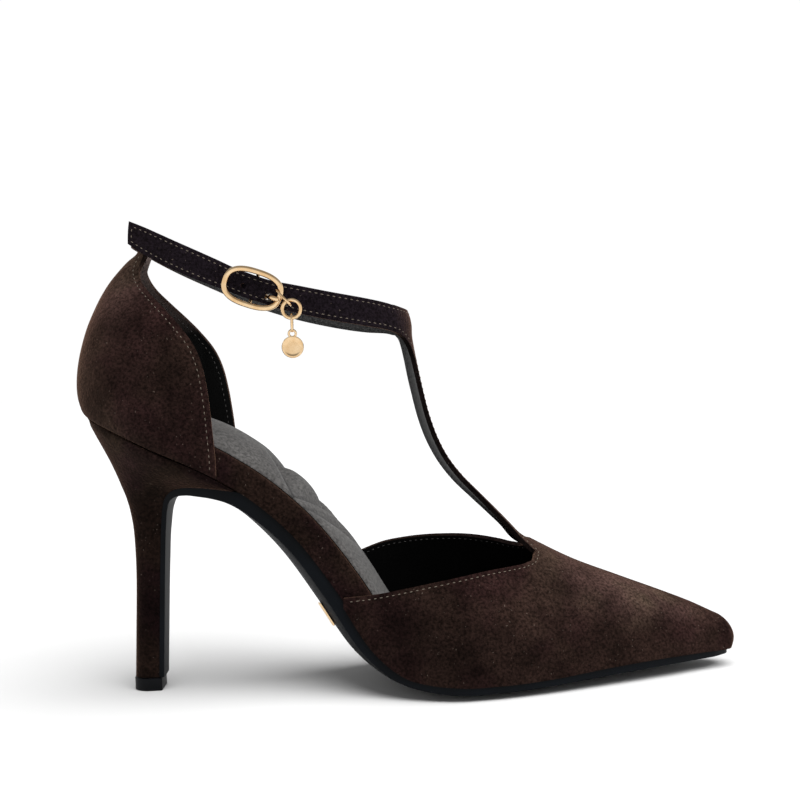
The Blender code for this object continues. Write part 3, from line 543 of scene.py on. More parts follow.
# Darker browns for the heel and footbed: a darker copy of the suede, mostly painted shade of these low
# parts
DEEP_SHADED_BROWN = (0.0055, 0.0024, 0.0026)
DEEP_SHADED_OLIVE = (0.0066, 0.0037, 0.0028)
EDGE_BROWN = (0.0032, 0.0021, 0.0020)
SUEDE_ROUGHNESS = 0.95
SUEDE_SPECULAR = 0.04
SUEDE_SHEEN = 0.26
SUEDE_SHEEN_ROUGHNESS = 0.36
SUEDE_SHEEN_TINT = (0.50, 0.28, 0.19)
HUE_NOISE = (40.0, 3.0, 0.55)
HUE_PLACES = (0.42, 0.58)
PATCH_NOISE = (85.0, 4.0, 0.6)
PATCH_TONES = (0.58, 1.42)
STRAP_PLACES = (0.32, 0.68)
STRAP_PALE = 1.3
NAP_NOISE = (1100.0, 2.0, 0.6)
NAP_TONES = (0.45, 1.55)
NAP_BUMP = (0.9, 0.35)
SPECK_NOISE = (1500.0, 0.0, 0.55)
SPECK_PLACES = (0.81, 0.86)
SPECK_SHARES = (0.0, 0.6)
FIBRE_TONES = (0.05, 0.04, 0.032), (0.09, 0.07, 0.058)
LEATHER_NOISE = (60.0, 3.0, 0.55)
LEATHER_TONES = (0.75, 1.3)
LEATHER_BUMP = (0.2, 0.08)
GRAIN_SHAPE = (3.0, 0.55)
SOLE_EDGE_BLACK = (0.0012, 0.0018, 0.0027)
SOLE_UNDER_BLACK = (0.0036, 0.0042, 0.0050)
RUBBER_BLACK = (0.0018, 0.0020, 0.0027)
LINING_ROUGHNESS = 0.5
LINING_SPECULAR = 0.08
LINING_BUMP = (0.4, 0.12)
WEAVE_NOISE = (1300.0, 3.0, 0.7)
VAMP_LEATHER = (0.0006, 0.0013)
VAMP_CLOTH = (0.008, 0.040)
COUNTER_LEATHER = (0.0016, 0.0030)
COUNTER_CLOTH = (0.090, 0.068, 0.062), (0.180, 0.138, 0.126)
SOCK_ROUGHNESS = 0.75
SOCK_SPECULAR = 0.2
SOCK_SHEEN = 0.06
SOCK_SHEEN_ROUGHNESS = 0.5
SOCK_NOISE = (55.0, 3.0, 0.55)
SOCK_TONES = (0.036, 0.0345, 0.0335), (0.048, 0.046, 0.0445)
SPECKLE_NOISE = (1000.0, 3.0, 0.65)
SPECKLE_TONES = (0.5, 1.5)
SEAM_PLACES = (0.0, 0.9)
SEAM_LINE_AND_SHADE_TONES = (1.0, 0.22)
SOCK_BUMP = (0.4, 0.15)
GOLD_NOISE = (260.0, 3.0, 0.55)
GOLD_TONES = (0.70, 0.45, 0.22), (0.84, 0.63, 0.39)
GOLD_ROUGHNESS = (0.07, 0.15)
THREAD_ROUGHNESS = 0.8
THREAD_NOISE = (3500.0, 2.0, 0.55)
THREAD_DIM = 0.6
THREAD_BUMP = (0.4, 0.05)
PALE_THREAD = (0.105, 0.086, 0.066)
DARK_THREAD = (0.042, 0.040, 0.039)
FLOOR_ROUGHNESS = 0.9
FLOOR_SPECULAR = 0.1

# Heights over which the vamp turns into the straps, and the counter's lining into its collar's

STRAP_HEIGHT = (46.0, 82.0)
COLLAR_HEIGHT = (124.0, 147.0)


# Curves and sections

def smooth(keys, values):
    """Return a cubic through the points, with slopes from their neighbours."""
    keys = np.asarray(keys, float)
    values = np.asarray(values, float)
    steps = np.diff(keys)
    chords = np.diff(values) / steps
    slopes = np.empty(len(keys))
    slopes[0] = chords[0]
    slopes[-1] = chords[-1]
    slopes[1:-1] = (chords[:-1] * steps[1:] + chords[1:] * steps[:-1]) / (steps[1:] + steps[:-1])

    def value(at):
        at = np.clip(at, keys[0], keys[-1])
        k = np.clip(np.searchsorted(keys, at) - 1, 0, len(keys) - 2)
        t = (at - keys[k]) / steps[k]
        start = values[k] * (1 + 2 * t) * (1 - t) ** 2 + steps[k] * slopes[k] * t * (1 - t) ** 2
        end = values[k + 1] * t * t * (3 - 2 * t) - steps[k] * slopes[k + 1] * t * t * (1 - t)
        return start + end

    return value


def curve(columns, name):
    """Return one column of a table as a smooth curve over its x."""
    return smooth(columns["x"], columns[name])


def row_numbers(columns, steps):
    """Return the numbers of a table's rows, with steps between each two."""
    last = len(next(iter(columns.values()))) - 1
    return np.linspace(0, last, last * steps + 1)


def sizes_at(columns, row):
    """Return a table's smoothed values at a row number, which need not be whole."""
    keys = row_numbers(columns, 1)
    return [float(smooth(keys, column)(row)) for column in columns.values()]


def unit(vectors):
    """Return one vector, or rows of them, at length 1."""
    return vectors / np.linalg.norm(vectors, axis=-1, keepdims=True)


def run_lengths(points):
    """Return each point's distance along a run of points."""
    steps = np.linalg.norm(np.diff(points, axis=0), axis=1)
    return np.concatenate(([0.0], np.cumsum(steps)))


def refine(points, steps, first=0):
    """Return a smooth run through the points, with steps between each two, from one of them on."""
    points = np.asarray(points, float)
    keys = run_lengths(points)
    spots = [np.linspace(a, b, steps, endpoint=False) for a, b in zip(keys[first:], keys[first + 1:])]
    spots = np.append(np.concatenate(spots), keys[-1])
    return np.column_stack([smooth(keys, column)(spots) for column in points.T])


seat_z = curve(BOTTOM, "z")
ridge_z = curve(RIDGE, "z")
feather_lap = curve(FEATHER_LAP, "lap")
midline_y = curve(MIDLINE, "y")
outline_of = {LATERAL: curve(OUTLINE, "lateral"), MEDIAL: curve(OUTLINE, "medial")}
topline_of = {LATERAL: curve(LATERAL_TOP, "z"), MEDIAL: curve(MEDIAL_TOP, "z")}


def ease(share):
    """Return a share that starts and ends softly."""
    share = min(max(share, 0.0), 1.0)
    return share * share * (3 - 2 * share)


def round_end(depth, length):
    """Return the width share of an elliptic end, from 0 at its tip to 1."""
    share = min(max(depth / length, 0.0), 1.0)
    return math.sqrt(1 - (1 - share) ** 2)


def edge_y(x, side, inset, toe_end):
    """Return the outline's Y at x on one side, drawn in by an inset and closed at a toe end."""
    middle = float(midline_y(x))
    half = float(outline_of[side](x)) - side * middle - inset
    half *= round_end(x - HEEL_BACK - inset, HEEL_ROUND)
    half *= round_end(toe_end - x, TOE_ROUND)
    return middle + side * half


def bezier(controls, t):
    """Return a cubic Bezier's value at t."""
    a, b, c, d = controls
    s = 1 - t
    return a * s ** 3 + 3 * b * s * s * t + 3 * c * s * t * t + d * t ** 3


def section_point(x, side, t):
    """Return the upper's point at x, from its edge on the sole (t = 0) to the ridge (t = 1)."""
    middle = float(midline_y(x))
    half = float(outline_of[side](x)) - side * middle
    low = float(seat_z(x) - feather_lap(x))
    rise = float(ridge_z(x)) - low
    return (x, middle + side * half * bezier(ARCH_OUT, t), low + rise * bezier(ARCH_UP, t))


def nose_point(angle, side, t):
    """Return the point of the round nose at an angle from straight ahead."""
    middle = float(midline_y(NOSE_AXIS))
    half = float(outline_of[side](NOSE_AXIS)) - side * middle
    tangent_angle = math.pi / 2 - math.atan(NOSE_TAPER)
    turn = max(angle, tangent_angle)
    reach = half / (math.sin(turn) + NOSE_TAPER * math.cos(turn))
    ahead = math.cos(angle) ** 2
    outs = (1 - NOSE_TUCK * ahead, ARCH_OUT[1] + NOSE_BULGE * ahead, ARCH_OUT[2], ARCH_OUT[3])
    out = reach * bezier(outs, t)
    low = float(seat_z(NOSE_AXIS))
    rise = float(ridge_z(NOSE_AXIS)) - low
    droop = NOSE_SLOPE * ARCH_OUT[2] * reach * math.cos(angle) / rise
    ups = (ARCH_UP[0], ARCH_UP[1] - NOSE_DROP * ahead, ARCH_UP[2] + droop, ARCH_UP[3])
    place = NOSE_AXIS + NOSE_STRETCH * out * math.cos(angle), middle + side * out * math.sin(angle)
    return (*place, low + rise * bezier(ups, t))


def topline_share(x, side):
    """Return the share of the section at x that lies at the topline's height."""
    height = float(topline_of[side](x))
    low, high = 0.0, 1.0
    for _ in range(HALVINGS):
        share = (low + high) / 2
        if section_point(x, side, share)[2] < height:
            low = share
        else:
            high = share
    return share


# Mesh makers

class Patch:
    """Points with keys, and faces between rows of them."""

    def __init__(self):
        self.keys = {}
        self.points = []
        self.faces = []

    def point(self, key, place):
        """Return the index of a key's point, which is added at its first use."""
        if key not in self.keys:
            self.keys[key] = len(self.points)
            self.points.append(tuple(place))
        return self.keys[key]

    def strip(self, low, high):
        """Join two rows that run to the right as seen from outside."""
        for i in range(len(low) - 1):
            corners = (low[i], low[i + 1], high[i + 1], high[i])
            self.faces.append(tuple(dict.fromkeys(corners)))

    def grid(self, rows):
        """Join each row to the next."""
        for low, high in zip(rows, rows[1:]):
            self.strip(low, high)

    def vertex_normals(self):
        """Return each point's outward direction."""
        places = np.array(self.points)
        normals = np.zeros_like(places)
        for face in self.faces:
            corners = places[list(face)]
            ahead, turn, back = corners[1] - corners[0], corners[2] - corners[1], corners[-1] - corners[0]
            normals[list(face)] += np.cross(ahead, back) + np.cross(ahead, turn)
        return unit(normals)


def add_to_scene(name, data):
    """Add an object with its data to the scene."""
    made = bpy.data.objects.new(name, data)
    bpy.context.scene.collection.objects.link(made)
    return made


def add_object(name, points, faces, looks):
    """Make an object from points in millimetres."""
    mesh = bpy.data.meshes.new(name)
    mesh.from_pydata(((np.asarray(points, float) + CENTRE) * MM).tolist(), [], faces)
    for look in looks:
        mesh.materials.append(look)
    return add_to_scene(name, mesh)


def shade(made):
    """Shade a mesh smooth, with its corners kept."""
    made.data.shade_smooth()
    made.data.set_sharp_from_angle(angle=math.radians(SHARP_ANGLE))
    return made


def close_outward(made):
    """Turn a closed mesh's faces outward."""
    work = bmesh.new()
    work.from_mesh(made.data)
    bmesh.ops.recalc_face_normals(work, faces=work.faces)
    work.to_mesh(made.data)
    work.free()
    return shade(made)


def loft_faces(count, loops, joined, first=0):
    """Return the faces of a skin over equal loops, with flat ends or joined into a ring."""
    faces = []
    spans = loops if joined else loops - 1
    for i in range(spans):
        here = first + i * count
        there = first + (i + 1) % loops * count
        for j in range(count):
            k = (j + 1) % count
            faces.append((here + j, here + k, there + k, there + j))
    if not joined:
        faces.append(tuple(range(first, first + count)))
        faces.append(tuple(range(first + (loops - 1) * count, first + loops * count)))
    return faces


def loft(name, skins, looks):
    """Make one object from skins, each given as its loops and whether they join into a ring."""
    points = []
    faces = []
    for loops, joined in skins:
        faces += loft_faces(len(loops[0]), len(loops), joined, len(points))
        points += [point for loop in loops for point in loop]
    return close_outward(add_object(name, points, faces, looks))


def oval(centre, first, second, count):
    """Return points round an ellipse with two half axes."""
    centre, first, second = (np.asarray(vector, float) for vector in (centre, first, second))
    turns = np.arange(count) * 2 * math.pi / count
    return [centre + math.cos(turn) * first + math.sin(turn) * second for turn in turns]


def tube_loops(path, radii, across, sides=WIRE_SIDES, closed=False, taper=None):
    """Return elliptic loops along a path; across is the loops' second axis."""
    path = np.asarray(path, float)
    if closed:
        tangents = np.roll(path, -1, axis=0) - np.roll(path, 1, axis=0)
    else:
        tangents = np.gradient(path, axis=0)
    across = np.asarray(across, float)
    shares = np.ones(len(path)) if taper is None else taper
    loops = []
    for place, tangent, share in zip(path, tangents, shares):
        first = unit(np.cross(tangent, across))
        second = unit(np.cross(first, tangent))
        loops.append(oval(place, radii[0] * share * first, radii[1] * share * second, sides))
    return loops


def add_bevel(made, width):
    """Round the sharp edges of an object."""
    step = made.modifiers.new("round", "BEVEL")
    step.width = width * MM
    step.segments = BEVEL_SEGMENTS
    step.limit_method = "ANGLE"
    step.angle_limit = math.radians(BEVEL_ANGLE)
    return made


def thicken(made, wall):
    """Give an outer skin a lining on its inner side and a rim between them."""
    step = made.modifiers.new("wall", "SOLIDIFY")
    step.thickness = wall * MM
    step.offset = -1
    step.use_even_offset = True
    step.use_quality_normals = True
    step.use_rim = True
    step.material_offset = 1
    step.material_offset_rim = 2


def cut(made, tool):
    """Cut an object with a tool."""
    tool.hide_render = True
    tool.display_type = "WIRE"
    step = made.modifiers.new(tool.name, "BOOLEAN")
    step.operation = "DIFFERENCE"
    step.solver = "EXACT"
    step.object = tool


def settle(made):
    """Replace an object's mesh by what its modifiers make of it."""
    shapes = bpy.context.evaluated_depsgraph_get()
    mesh = bpy.data.meshes.new_from_object(made.evaluated_get(shapes))
    made.modifiers.clear()
    made.data = mesh
    return shade(made)


# Materials

class Look:
    """The nodes of a material or of the world, and the node that takes their results."""

    def __init__(self, owner, target):
        owner.use_nodes = True
        self.owner = owner
        self.nodes = owner.node_tree.nodes
        self.links = owner.node_tree.links
        self.target = self.nodes[target]

    def feed(self, node, sockets):
        """Set a node's named sockets to values, or link other nodes' results to them."""
        for name, value in sockets.items():
            if isinstance(value, bpy.types.NodeSocket):
                self.links.new(value, node.inputs[name])
            else:
                node.inputs[name].default_value = value

    def put(self, **sockets):
        """Feed the target's sockets, named with _ for a space."""
        self.feed(self.target, {name.replace("_", " "): value for name, value in sockets.items()})

    def place(self, kind):
        """Return a coordinate of the surface, or the direction in the world."""
        return self.nodes.new("ShaderNodeTexCoord").outputs[kind]

    def rise(self, place):
        """Return the Z of a coordinate."""
        split = self.nodes.new("ShaderNodeSeparateXYZ")
        self.feed(split, {"Vector": place})
        return split.outputs["Z"]

    def noise(self, scale, detail, rough):
        """Return the value of a noise in the shoe's own coordinates."""
        noise = self.nodes.new("ShaderNodeTexNoise")
        place = self.place("Object")
        self.feed(noise, {"Vector": place, "Scale": scale, "Detail": detail, "Roughness": rough})
        return noise.outputs["Fac"]

    def attribute(self, name):
        """Return the value that a mesh keeps under a name."""
        stored = self.nodes.new("ShaderNodeAttribute")
        stored.attribute_name = name
        return stored.outputs["Fac"]

    def ramp(self, value, places, colours):
        """Return the colour of a value, from places with a colour or a grey each."""
        ramp = self.nodes.new("ShaderNodeValToRGB")
        elements = ramp.color_ramp.elements
        for place in places[1:-1]:
            elements.new(place)
        for element, place, colour in zip(elements, places, colours):
            element.position = place
            element.color = (*np.broadcast_to(colour, 3), 1.0)
        self.feed(ramp, {"Fac": value})
        return ramp.outputs["Color"]

    def climb(self, low, high):
        """Return a share that goes from 0 to 1 between two heights."""
        share = self.nodes.new("ShaderNodeMapRange")
        height = self.rise(self.place("Object"))
        self.feed(share, {"Value": height, "From Min": low * MM, "From Max": high * MM})
        return share.outputs["Result"]

    def mix(self, share, first, second, blend="MIX"):
        """Return two colours mixed by a share."""
        mix = self.nodes.new("ShaderNodeMix")
        mix.data_type = "RGBA"
        mix.blend_type = blend
        self.feed(mix, {"Factor": share, "A": first, "B": second})
        return mix.outputs["Result"]

    def multiply(self, first, second):
        """Return the product of two colours."""
        return self.mix(1.0, first, second, "MULTIPLY")

    def bump(self, height, strength, depth):
        """Raise the surface by a height."""
        bump = self.nodes.new("ShaderNodeBump")
        self.feed(bump, {"Height": height, "Strength": strength, "Distance": depth * MM})
        self.put(Normal=bump.outputs["Normal"])


def new_look(name, **sockets):
    """Return the nodes of a new material, with some of its shader's sockets set."""
    look = Look(bpy.data.materials.new(name), "Principled BSDF")
    look.put(**sockets)
    return look


def toned(colour, *tones):
    """Return a colour at each of some brightnesses."""
    return [tuple(tone * part for part in colour) for tone in tones]


def suede_material(name, red, olive, strap=None, lit_and_brushed=False):
    """Return napped suede: brushed patches of two browns, a fine nap and a few pale fibres, and where asked
    the kept painted highlights, painted shade and brushed nap.
    """
    look = new_look(name, Roughness=SUEDE_ROUGHNESS, Specular_IOR_Level=SUEDE_SPECULAR)
    look.put(Sheen_Weight=SUEDE_SHEEN, Sheen_Roughness=SUEDE_SHEEN_ROUGHNESS)
    look.put(Sheen_Tint=(*SUEDE_SHEEN_TINT, 1.0))
    colour = look.ramp(look.noise(*HUE_NOISE), HUE_PLACES, (red, olive))
    patches = look.noise(*PATCH_NOISE)
    colour = look.multiply(colour, look.ramp(patches, NOISE_MIDDLE, PATCH_TONES))
    if lit_and_brushed:
        # Painted highlights and painted shade, with the brushed nap, from the brightness kept on the mesh
        places = (0.0, 1 / NAP_AND_LIGHT_TOP, 1.0)
        colour = look.multiply(colour, look.ramp(look.attribute("nap"), places, (0.0, 1.0, NAP_AND_LIGHT_PALE)))
    if strap:
        high = look.ramp(patches, STRAP_PLACES, toned(strap, 1.0, STRAP_PALE))
        colour = look.mix(look.climb(*STRAP_HEIGHT), colour, high)
    nap = look.noise(*NAP_NOISE)
    colour = look.multiply(colour, look.ramp(nap, NOISE_MIDDLE, NAP_TONES))
    pale = look.ramp(look.noise(*SPECK_NOISE), SPECK_PLACES, SPECK_SHARES)
    fibre = look.ramp(patches, NOISE_SPREAD, FIBRE_TONES)
    look.put(Base_Color=look.mix(pale, colour, fibre))
    look.bump(nap, *NAP_BUMP)
    return look.owner


def leather_material(name, colour, roughness, specular, grain):
    """Return smooth dark leather or rubber with a fine grain, given as cells per metre."""
    look = new_look(name, Roughness=roughness, Specular_IOR_Level=specular)
    tone = look.noise(*LEATHER_NOISE)
    look.put(Base_Color=look.ramp(tone, NOISE_CORE, toned(colour, *LEATHER_TONES)))
    look.bump(look.noise(grain, *GRAIN_SHAPE), *LEATHER_BUMP)
    return look.owner


def lining_material(name, leather, cloth, heights):
    """Return an upper's lining: dark leather that gives way to paler cloth between two heights."""
    look = new_look(name, Roughness=LINING_ROUGHNESS, Specular_IOR_Level=LINING_SPECULAR)
    weave = look.noise(*WEAVE_NOISE)
    low = look.ramp(weave, NOISE_SPREAD, leather)
    high = look.ramp(weave, NOISE_CORE, cloth)
    look.put(Base_Color=look.mix(look.climb(*heights), low, high))
    look.bump(weave, *LINING_BUMP)
    return look.owner


def sock_material():
    """Return the soft speckled taupe of the padded sock, darker along its seams with painted shade and the
    seam line's own darkness.
    """
    look = new_look("sock", Roughness=SOCK_ROUGHNESS, Specular_IOR_Level=SOCK_SPECULAR)
    look.put(Sheen_Weight=SOCK_SHEEN, Sheen_Roughness=SOCK_SHEEN_ROUGHNESS)
    colour = look.ramp(look.noise(*SOCK_NOISE), NOISE_SPREAD, SOCK_TONES)
    speckle = look.noise(*SPECKLE_NOISE)
    colour = look.multiply(colour, look.ramp(speckle, NOISE_MIDDLE, SPECKLE_TONES))
    # Painted shade in the seams' grooves, with the seam line's own darkness
    shadow = look.ramp(look.attribute("seam"), SEAM_PLACES, SEAM_LINE_AND_SHADE_TONES)
    look.put(Base_Color=look.multiply(colour, shadow))
    look.bump(speckle, *SOCK_BUMP)
    return look.owner


def gold_material():
    """Return polished pale gold plating with faint cloudiness."""
    look = new_look("gold", Metallic=1.0)
    cloud = look.noise(*GOLD_NOISE)
    look.put(Base_Color=look.ramp(cloud, NOISE_SPREAD, GOLD_TONES))
    look.put(Roughness=look.ramp(cloud, NOISE_SPREAD, GOLD_ROUGHNESS))
    return look.owner


def thread_material(name, colour):
    """Return twisted sewing thread."""
    look = new_look(name, Roughness=THREAD_ROUGHNESS)
    fibre = look.noise(*THREAD_NOISE)
    look.put(Base_Color=look.ramp(fibre, NOISE_SPREAD, toned(colour, THREAD_DIM, 1.0)))
    look.bump(fibre, *THREAD_BUMP)
    return look.owner


def floor_material():
    """Return the plain white of the floor."""
    look = new_look("floor", Roughness=FLOOR_ROUGHNESS, Specular_IOR_Level=FLOOR_SPECULAR)
    look.put(Base_Color=(FLOOR_WHITE, FLOOR_WHITE, FLOOR_WHITE, 1.0))
    return look.owner


vamp_suede = suede_material("vamp_suede", RED_BROWN, OLIVE_BROWN, STRAP_BROWN, True)
suede = suede_material("suede", RED_BROWN, OLIVE_BROWN, lit_and_brushed=True)
# A darker copy of the suede, mostly painted shade, for the heel and footbed
deep_shaded_suede = suede_material("deep_shaded_suede", DEEP_SHADED_BROWN, DEEP_SHADED_OLIVE, lit_and_brushed=True)
suede_edge = suede_material("suede_edge", EDGE_BROWN, EDGE_BROWN)
vamp_lining = lining_material("vamp_lining", VAMP_LEATHER, VAMP_CLOTH, STRAP_HEIGHT)
lining = lining_material("lining", COUNTER_LEATHER, COUNTER_CLOTH, COLLAR_HEIGHT)
sole_edge = leather_material("sole_edge", SOLE_EDGE_BLACK, roughness=0.45, specular=0.07, grain=1200.0)
sole_under = leather_material("sole_under", SOLE_UNDER_BLACK, roughness=0.55, specular=0.07, grain=700.0)
rubber = leather_material("rubber", RUBBER_BLACK, roughness=0.45, specular=0.1, grain=1500.0)
sock = sock_material()
gold = gold_material()
thread = thread_material("thread", PALE_THREAD)
dark_thread = thread_material("dark_thread", DARK_THREAD)


# The front upper

def throat_stations(side):
    """Return the X of the sections behind the throat, from the back corner."""
    back = (LATERAL_TOP if side == LATERAL else MEDIAL_TOP)["x"][0]
    return np.concatenate((np.linspace(back, *THROAT_RUN), THROAT_CORNER))


def wall_column(patch, side, x, top):
    """Add one section's wall points, from the feather line to a share of the section."""
    places = [section_point(x, side, top * row / WALL_ROWS) for row in range(WALL_ROWS + 1)]
    return [patch.point((side, x, row), place) for row, place in enumerate(places)]


def full_column(patch, side, x, top):
    """Add one section up to the ridge, which both sides share."""
    column = wall_column(patch, side, x, top)
    for step in range(1, STRAP_COLUMNS + 1):
        share = top + (1 - top) * step / STRAP_COLUMNS
        key = (side, x, WALL_ROWS + step) if step < STRAP_COLUMNS else ("ridge", x)
        column.append(patch.point(key, section_point(x, side, share)))
    return column


def nose_column(patch, side, angle, top):
    """Add one section of the round nose, up to the pole on the ridge."""
    shares = [top * row / WALL_ROWS for row in range(WALL_ROWS)]
    shares += [top + (1 - top) * step / STRAP_COLUMNS for step in range(STRAP_COLUMNS)]
    where = side if angle > 0 else 0
    column = [
        patch.point((where, "nose", angle, row), nose_point(angle, side, share))
        for row, share in enumerate(shares)
    ]
    return column + [patch.point(("ridge", NOSE_AXIS), ())]


def vamp_columns(patch, tops):
    """Return the columns of the wall, from the lateral corner round the toe to the medial one."""
    toe_stations = np.linspace(THROAT_X, NOSE_AXIS, TOE_STATIONS)
    angles = np.radians(NOSE_TURNS)
    columns = []
    for x in throat_stations(LATERAL):
        columns.append(wall_column(patch, LATERAL, x, topline_share(x, LATERAL)))
    columns += [full_column(patch, LATERAL, x, tops[LATERAL]) for x in toe_stations]
    columns += [nose_column(patch, LATERAL, angle, tops[LATERAL]) for angle in angles]
    columns.append(nose_column(patch, LATERAL, 0.0, tops[LATERAL]))
    columns += [nose_column(patch, MEDIAL, angle, tops[MEDIAL]) for angle in angles[::-1]]
    columns += [full_column(patch, MEDIAL, x, tops[MEDIAL]) for x in toe_stations[::-1]]
    for x in throat_stations(MEDIAL)[::-1]:
        columns.append(wall_column(patch, MEDIAL, x, topline_share(x, MEDIAL)))
    return columns


def join_columns(patch, columns):
    """Join neighbouring columns over the rows that both have."""
    for left, right in zip(columns, columns[1:]):
        shared = min(len(left), len(right))
        for row in range(shared - 1):
            patch.strip((left[row], right[row]), (left[row + 1], right[row + 1]))


def strap_column(across, tops):
    """Return one column of the T-strap, from the throat section up to the ankle band."""
    side = LATERAL if across < 0 else MEDIAL
    share = tops[side] + (1 - tops[side]) * (1 - abs(across))
    controls = [section_point(THROAT_X + ahead, side, share) for ahead in (STRAP_LEAD, 0.0)]
    ridge = np.column_stack((T_STRAP["x"], T_STRAP["z"]))
    tangents = unit(np.gradient(ridge, axis=0))
    behind = T_STRAP["sag"] * across ** 2 + T_STRAP["lean"] * (across + 1) / 2
    for k, (x, z) in enumerate(ridge):
        tx, tz = tangents[k]
        controls.append((x - tz * behind[k], across * T_STRAP["half_width"][k], z + tx * behind[k]))
    return refine(controls, STRAP_STEPS, 1)


def t_strap_rows(patch, tops):
    """Return the T-strap's rows, from the throat section up to the ankle band."""
    steps = range(STRAP_COLUMNS)
    lateral = [patch.point((LATERAL, THROAT_X, WALL_ROWS + step), ()) for step in steps]
    medial = [patch.point((MEDIAL, THROAT_X, WALL_ROWS + step), ()) for step in reversed(steps)]
    rows = [lateral + [patch.point(("ridge", THROAT_X), ())] + medial]
    shares = np.arange(-STRAP_COLUMNS, STRAP_COLUMNS + 1) / STRAP_COLUMNS
    columns = [strap_column(across, tops) for across in shares]
    for k in range(1, len(columns[0])):
        rows.append([patch.point(("strap", k, i), column[k]) for i, column in enumerate(columns)])
    return rows


def band_section(low, high, out, bulge):
    """Return the points of a band's section from its low edge to its high one."""
    shares = np.arange(BAND_ROWS + 1) / BAND_ROWS
    return [low + (high - low) * s + out * bulge * 4 * s * (1 - s) for s in shares]


def arm_sections(before, start, arm, count, end_slant):
    """Return the sections along one ankle arm, which goes on smoothly from the front of the band."""
    rows = np.column_stack(list(arm.values()))
    controls = np.vstack(((*before, BAND_SIDE / 2), (*start, BAND_SIDE / 2), rows))
    lengths = run_lengths(controls)
    keys = lengths / lengths[-1]
    axes = [smooth(keys, column) for column in controls.T]
    front_up = np.array((BAND_LEAN / BAND_SIDE, 0.0, 1.0))
    sections = []
    for at in np.linspace(keys[1], 1.0, count + 1)[1:]:
        centre = np.array([float(axis(at)) for axis in axes[:3]])
        ahead = np.array([float(axis(at + ARM_STEP) - axis(at - ARM_STEP)) for axis in axes[:3]])
        ahead = unit(ahead)
        inward = unit(np.array((ANKLE_X - centre[0], -centre[1], 0.0)))
        settled = ease((at - keys[1]) / ARM_SETTLE)
        square = 1.0 if at < ARM_END_CUT else 1 - end_slant * (at - ARM_END_CUT) / (1 - ARM_END_CUT)
        up = np.array((0.0, 0.0, 1.0)) + ARM_LEAN * inward
        up = front_up * (1 - settled) + up * settled
        up -= ahead * np.dot(up, ahead) * square * settled
        up *= float(axes[3](at)) / np.linalg.norm(up)
        bulge = BAND_BULGE + (ARM_BULGE - BAND_BULGE) * settled
        sections.append(band_section(centre - up, centre + up, -inward, bulge))
    return sections


def band_rows(patch, front):
    """Add the band round the ankle, whose low edge over the instep is the T-strap's last row."""
    low = [np.array(patch.points[index]) for index in front]
    ahead = np.array((1.0, 0.0, 0.0))
    heights = BAND_FRONT + (BAND_SIDE - BAND_FRONT) * np.linspace(-1, 1, len(low)) ** 2
    high = [place + (BAND_LEAN, 0.0, height) for place, height in zip(low, heights)]
    middle = [band_section(*ends, ahead, BAND_BULGE) for ends in zip(low, high)]
    centres = [(low_end + high_end) / 2 for low_end, high_end in zip(low, high)]
    starts = centres[BAND_LEAD], centres[0]
    lateral = arm_sections(*starts, LATERAL_ARM, LATERAL_ARM_STATIONS, LATERAL_END_SLANT)
    starts = centres[-1 - BAND_LEAD], centres[-1]
    medial = arm_sections(*starts, MEDIAL_ARM, MEDIAL_ARM_STATIONS, 0.0)
    sections = lateral[::-1] + middle + medial
    first = len(lateral)
    patch.keys.update({("band", first + i, 0): index for i, index in enumerate(front)})
    rows = []
    for level in range(BAND_ROWS + 1):
        row = [patch.point(("band", i, level), section[level]) for i, section in enumerate(sections)]
        rows.append(row)
    patch.grid(rows)
    return rows, first, first + len(front)


def soft_spots(points, spots):
    """Return the summed heights of soft oval spots at points."""
    total = np.zeros(len(points))
    for x, z, turn, length, width, height, side in zip(*spots.values()):
        c, s = math.cos(math.radians(turn)), math.sin(math.radians(turn))
        along = (points[:, 0] - x) * c + (points[:, 2] - z) * s
        across = (points[:, 2] - z) * c - (points[:, 0] - x) * s
        amount = height * np.exp(-(along / length) ** 2 - (across / width) ** 2)
        total += amount * np.clip(points[:, 1] * side / SPOT_FADE, 0.0, 1.0)
    return total


def crease(points, normals):
    """Press soft troughs and raise soft ridges on the upper."""
    points = np.array(points)
    moved = points + normals * soft_spots(points, CREASES)[:, None]
    return [tuple(place) for place in moved]


def brush_and_paint_light(made):
    """Keep the brushed nap's brightness, with its painted highlights and painted shade, on a mesh, as a
    share of its top.
    """
    places = np.empty(len(made.data.vertices) * 3)
    made.data.vertices.foreach_get("co", places)
    brightness = 1 + soft_spots(places.reshape(-1, 3) / MM - CENTRE, NAP_AND_PAINTED_LIGHT)
    # The nap attribute holds painted highlights and painted shade as well as the brushed nap
    nap = made.data.attributes.new("nap", "FLOAT", "POINT")
    nap.data.foreach_set("value", brightness / NAP_AND_LIGHT_TOP)
    return made


def vamp_edge(columns, strap, band, first, last):
    """Return the upper's free edge, from the lateral corner round the straps to the medial one."""
    count = len(throat_stations(LATERAL))
    edge = [column[WALL_ROWS] for column in columns[:count + 1]]
    edge += [row[0] for row in strap[1:]]
    edge += band[0][:first][::-1]
    edge += [row[0] for row in band[1:]]
    edge += band[-1][1:]
    edge += [row[-1] for row in band[-2::-1]]
    edge += band[0][last:-1][::-1]
    edge += [row[-1] for row in strap[::-1]]
    count = len(throat_stations(MEDIAL))
    return edge + [column[WALL_ROWS] for column in columns[-count:]]


def buckle_to_world(along, up, out=0.0):
    """Return the shoe's coordinates of a point of the buckle."""
    tilt = math.radians(BUCKLE_TILT)
    x = BUCKLE_AT[0] + along * math.cos(tilt) + up * math.sin(tilt)
    z = BUCKLE_AT[2] - along * math.sin(tilt) + up * math.cos(tilt)
    return np.array((x, BUCKLE_AT[1] - out, z))


